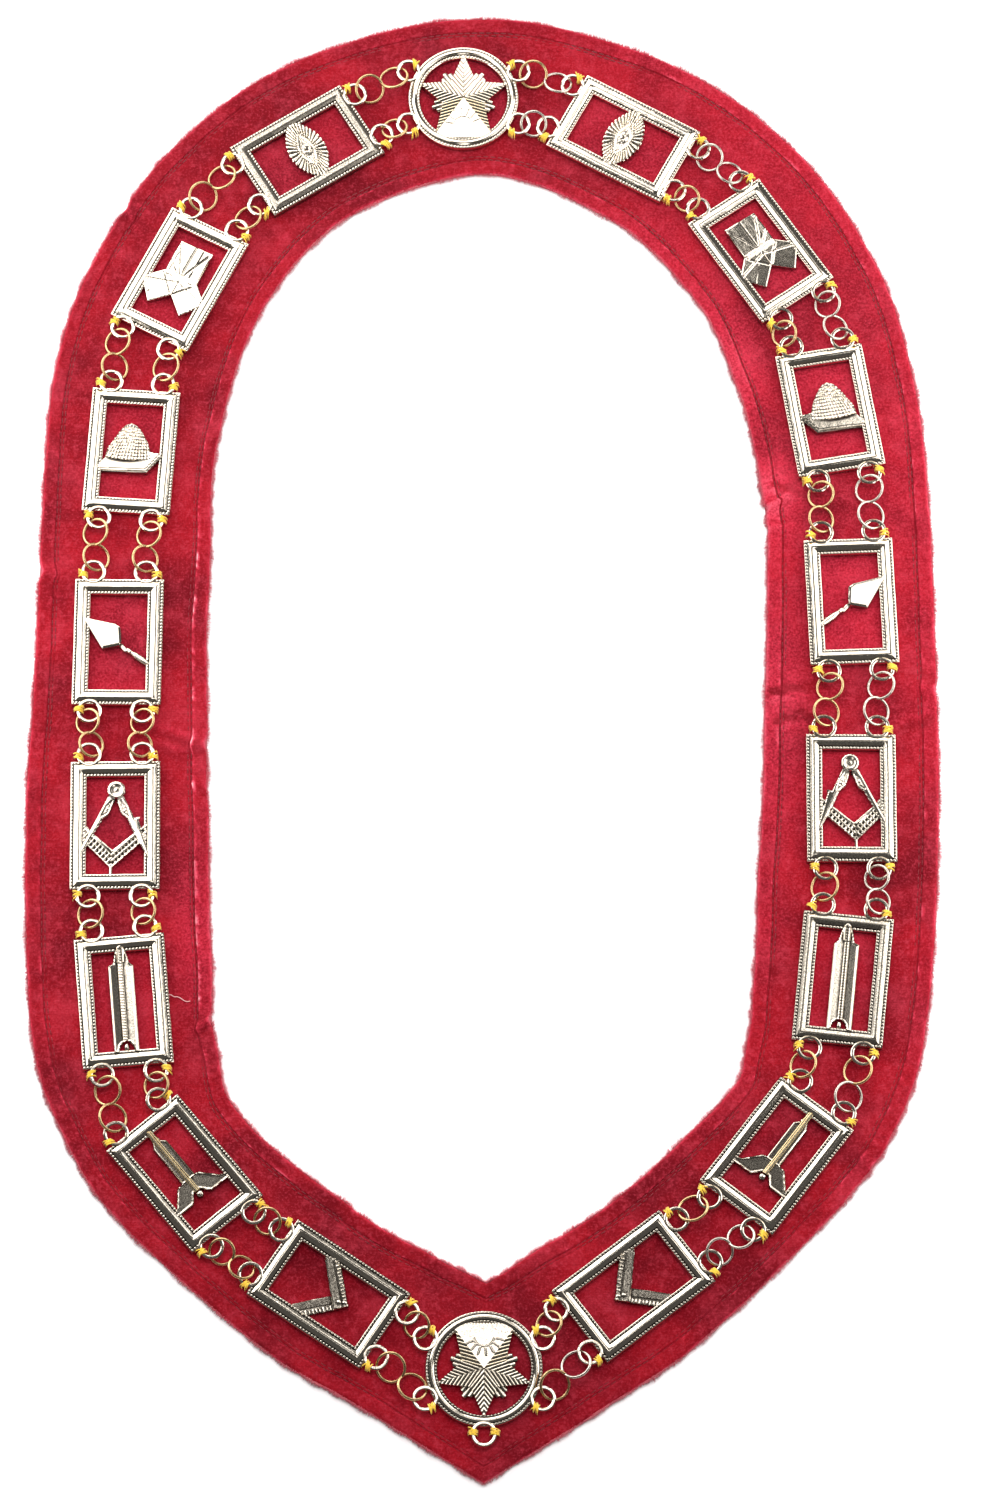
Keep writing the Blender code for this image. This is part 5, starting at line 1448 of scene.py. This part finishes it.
def make_ties(links):
    """Sewing threads: each tie is seven turns over a loop's leg, every turn half an ellipse that
    starts and ends in the cloth."""
    shell = Shell()
    dice = np.random.default_rng(5)
    bend = np.linspace(0, np.pi, 9)[:, None]
    for name, emblem, across, along, turn, _ in PLATES:
        pose = plate_pose(across, along, turn)
        for x, y, angle in loop_middles(name, emblem):
            out = np.array([math.cos(angle), math.sin(angle)])
            aside = np.array([-out[1], out[0]])
            for leg in sewn_legs(name, emblem, (x, y), aside):
                spot = np.array([x, y]) + leg * aside * 4.4 - out * 0.9
                for number in range(7):
                    place = spot + out * ((number - 3) * 0.34 + dice.normal(0, 0.12))
                    skew = dice.normal(0, 0.38) + 0.2 * leg
                    wide = 1.85 + dice.normal(0, 0.2)
                    line = place + np.cos(bend) * (aside + out * skew) * wide
                    rise = 0.3 + (4.25 + dice.normal(0, 0.1)) * np.sin(bend) ** 0.55
                    path = np.hstack([line, rise]) @ pose[:, :3].T + pose[:, 3]
                    shell.grid(tube(path, 0.27), round_first=False)
    yellow = thread_material("yellow sewing thread", links.tie, 0.5)
    finished(shell.piece("sewing_ties", yellow), "red_velvet")


def make_loose_thread():
    """A pale thread end that lies on the pile: its path swings by sines of its length."""
    along = np.linspace(0, 1, 60)
    x = -129.5 + 10.0 * along + 0.5 * np.sin(9 * along)
    y = -117.0 - 3.4 * along**1.6 + 0.6 * np.sin(14 * along) * along
    z = 2.75 + 0.12 * np.sin(11 * along + 1)
    shell = Shell()
    shell.grid(tube(np.column_stack([x, y, z]), 0.2), round_first=False)
    pale = thread_material("pale pink thread", linear("#E8AFAE"), 0.5)
    finished(shell.piece("loose_thread", pale), "red_velvet")


class COLLAR_OT_velvet(bpy.types.Operator):
    """Makes the velvet band with its loose pile and stitches"""

    bl_idname = "collar.velvet"
    bl_label = "Velvet band"

    def execute(self, context):
        cloth = context.scene.collar_cloth
        make_velvet(cloth)
        make_pile(cloth)
        make_hem_stitches(cloth)
        return {"FINISHED"}


class COLLAR_OT_castings(bpy.types.Operator):
    """Makes the plates and the medallions"""

    bl_idname = "collar.castings"
    bl_label = "Cast plates and medallions"

    def execute(self, context):
        castings = context.scene.collar_castings
        metal = nickel_material(castings)
        for row in PLATES:
            make_casting(row, castings, metal)
        return {"FINISHED"}


class COLLAR_OT_links(bpy.types.Operator):
    """Makes the jump rings of all strands"""

    bl_idname = "collar.links"
    bl_label = "Jump rings"

    def execute(self, context):
        make_links(context.scene.collar_links)
        return {"FINISHED"}


class COLLAR_OT_ties(bpy.types.Operator):
    """Makes the threads that hold the castings' loops, and one loose end"""

    bl_idname = "collar.ties"
    bl_label = "Sewing threads"

    def execute(self, context):
        make_ties(context.scene.collar_links)
        make_loose_thread()
        return {"FINISHED"}


def add_light(name, place, aim, size, power, reflected=True, lights=True):
    """A rectangular softbox at the place, turned towards the aim. One that isn't reflected only
    lights the object; one that doesn't light it is only seen in its metal, like a white card."""
    lamp = bpy.data.lights.new(name, "AREA")
    lamp.shape = "RECTANGLE"
    lamp.size, lamp.size_y = size
    lamp.energy = power
    made = bpy.data.objects.new(name, lamp)
    made.location = place
    made.rotation_euler = (Vector(aim) - Vector(place)).to_track_quat("-Z", "Y").to_euler()
    made.visible_glossy = reflected
    made.visible_diffuse = lights
    bpy.context.scene.collection.objects.link(made)


def studio_world(stage):
    """A dim studio overhead and its white wall low down, blended over the height of the view."""
    world = bpy.data.worlds.new("studio")
    world.use_nodes = True
    tree = world.node_tree
    tree.nodes.clear()
    where = put(tree, "ShaderNodeTexCoord", output="Generated")
    height = put(tree, "ShaderNodeSeparateXYZ", {"Vector": where}, "Z")
    sockets = {0: height, 1: 0.1, 2: 0.24, 3: stage.wall, 4: stage.sky}
    strength = put(tree, "ShaderNodeMapRange", sockets)
    light = put(tree, "ShaderNodeBackground", {"Color": (1, 1, 1), "Strength": strength})
    put(tree, "ShaderNodeOutputWorld", {"Surface": light})
    return world


class COLLAR_OT_stage(bpy.types.Operator):
    """Makes the floor, the light and the camera"""

    bl_idname = "collar.stage"
    bl_label = "Floor, light and camera"

    def execute(self, context):
        stage = context.scene.collar_stage
        mesh = bpy.data.meshes.new("floor")
        corners = [(x * FLOOR_REACH, y * FLOOR_REACH, 0.0) for x, y in FLOOR_CORNERS]
        mesh.from_pydata(corners, [], [(0, 1, 2, 3)])
        mesh.materials.append(floor_material(stage))
        floor = bpy.data.objects.new("floor", mesh)
        context.scene.collection.objects.link(floor)
        context.scene.world = studio_world(stage)
        context.scene.view_settings.view_transform = "Standard"
        place, aim, size = FILL
        add_light("fill", place, aim, size, stage.fill, reflected=False)
        for name, (place, size, power) in CARDS.items():
            add_light(name, place, (*place[:2], 0.0), size, power, lights=False)
        for name, (place, aim, size, power) in SOFTBOXES.items():
            add_light(name, place, aim, size, power)
        camera = bpy.data.cameras.new("camera")
        camera.sensor_width = SENSOR
        camera.lens = LENS
        camera.clip_start, camera.clip_end = 0.1, 20.0
        holder = bpy.data.objects.new("camera", camera)
        holder.location = CAMERA_PLACE
        view = Vector(CAMERA_AIM) - holder.location
        holder.rotation_euler = view.to_track_quat("-Z", "Y").to_euler()
        context.scene.collection.objects.link(holder)
        context.scene.camera = holder
        return {"FINISHED"}


class COLLAR_PT_pieces(bpy.types.Panel):
    """Lists the collar's pieces"""

    bl_idname = "COLLAR_PT_pieces"
    bl_label = "Chain collar"
    bl_space_type = "VIEW_3D"
    bl_region_type = "UI"
    bl_category = "Collar"

    def draw(self, context):
        for group in GROUPS:
            box = self.layout.box()
            held = getattr(context.scene, group)
            for name in held.__annotations__:
                box.prop(held, name)
        for operator in OPERATORS:
            self.layout.operator(operator.bl_idname)


GROUPS = {
    "collar_cloth": CollarCloth,
    "collar_castings": CollarCastings,
    "collar_links": CollarLinks,
    "collar_stage": CollarStage,
}
OPERATORS = (COLLAR_OT_stage, COLLAR_OT_velvet, COLLAR_OT_castings, COLLAR_OT_links, COLLAR_OT_ties)


def register():
    """Registers the classes, and the sizes and colours as settings of the scene."""
    for made in (*GROUPS.values(), *OPERATORS, COLLAR_PT_pieces):
        bpy.utils.register_class(made)
    for name, group in GROUPS.items():
        setattr(bpy.types.Scene, name, PointerProperty(type=group))


def unregister():
    """Takes back what register did."""
    for name in GROUPS:
        delattr(bpy.types.Scene, name)
    for made in reversed((*GROUPS.values(), *OPERATORS, COLLAR_PT_pieces)):
        bpy.utils.unregister_class(made)


def main():
    """Makes every piece in order."""
    register()
    bpy.ops.collar.stage()
    bpy.ops.collar.velvet()
    bpy.ops.collar.castings()
    bpy.ops.collar.links()
    bpy.ops.collar.ties()


if __name__ == "__main__":
    main()
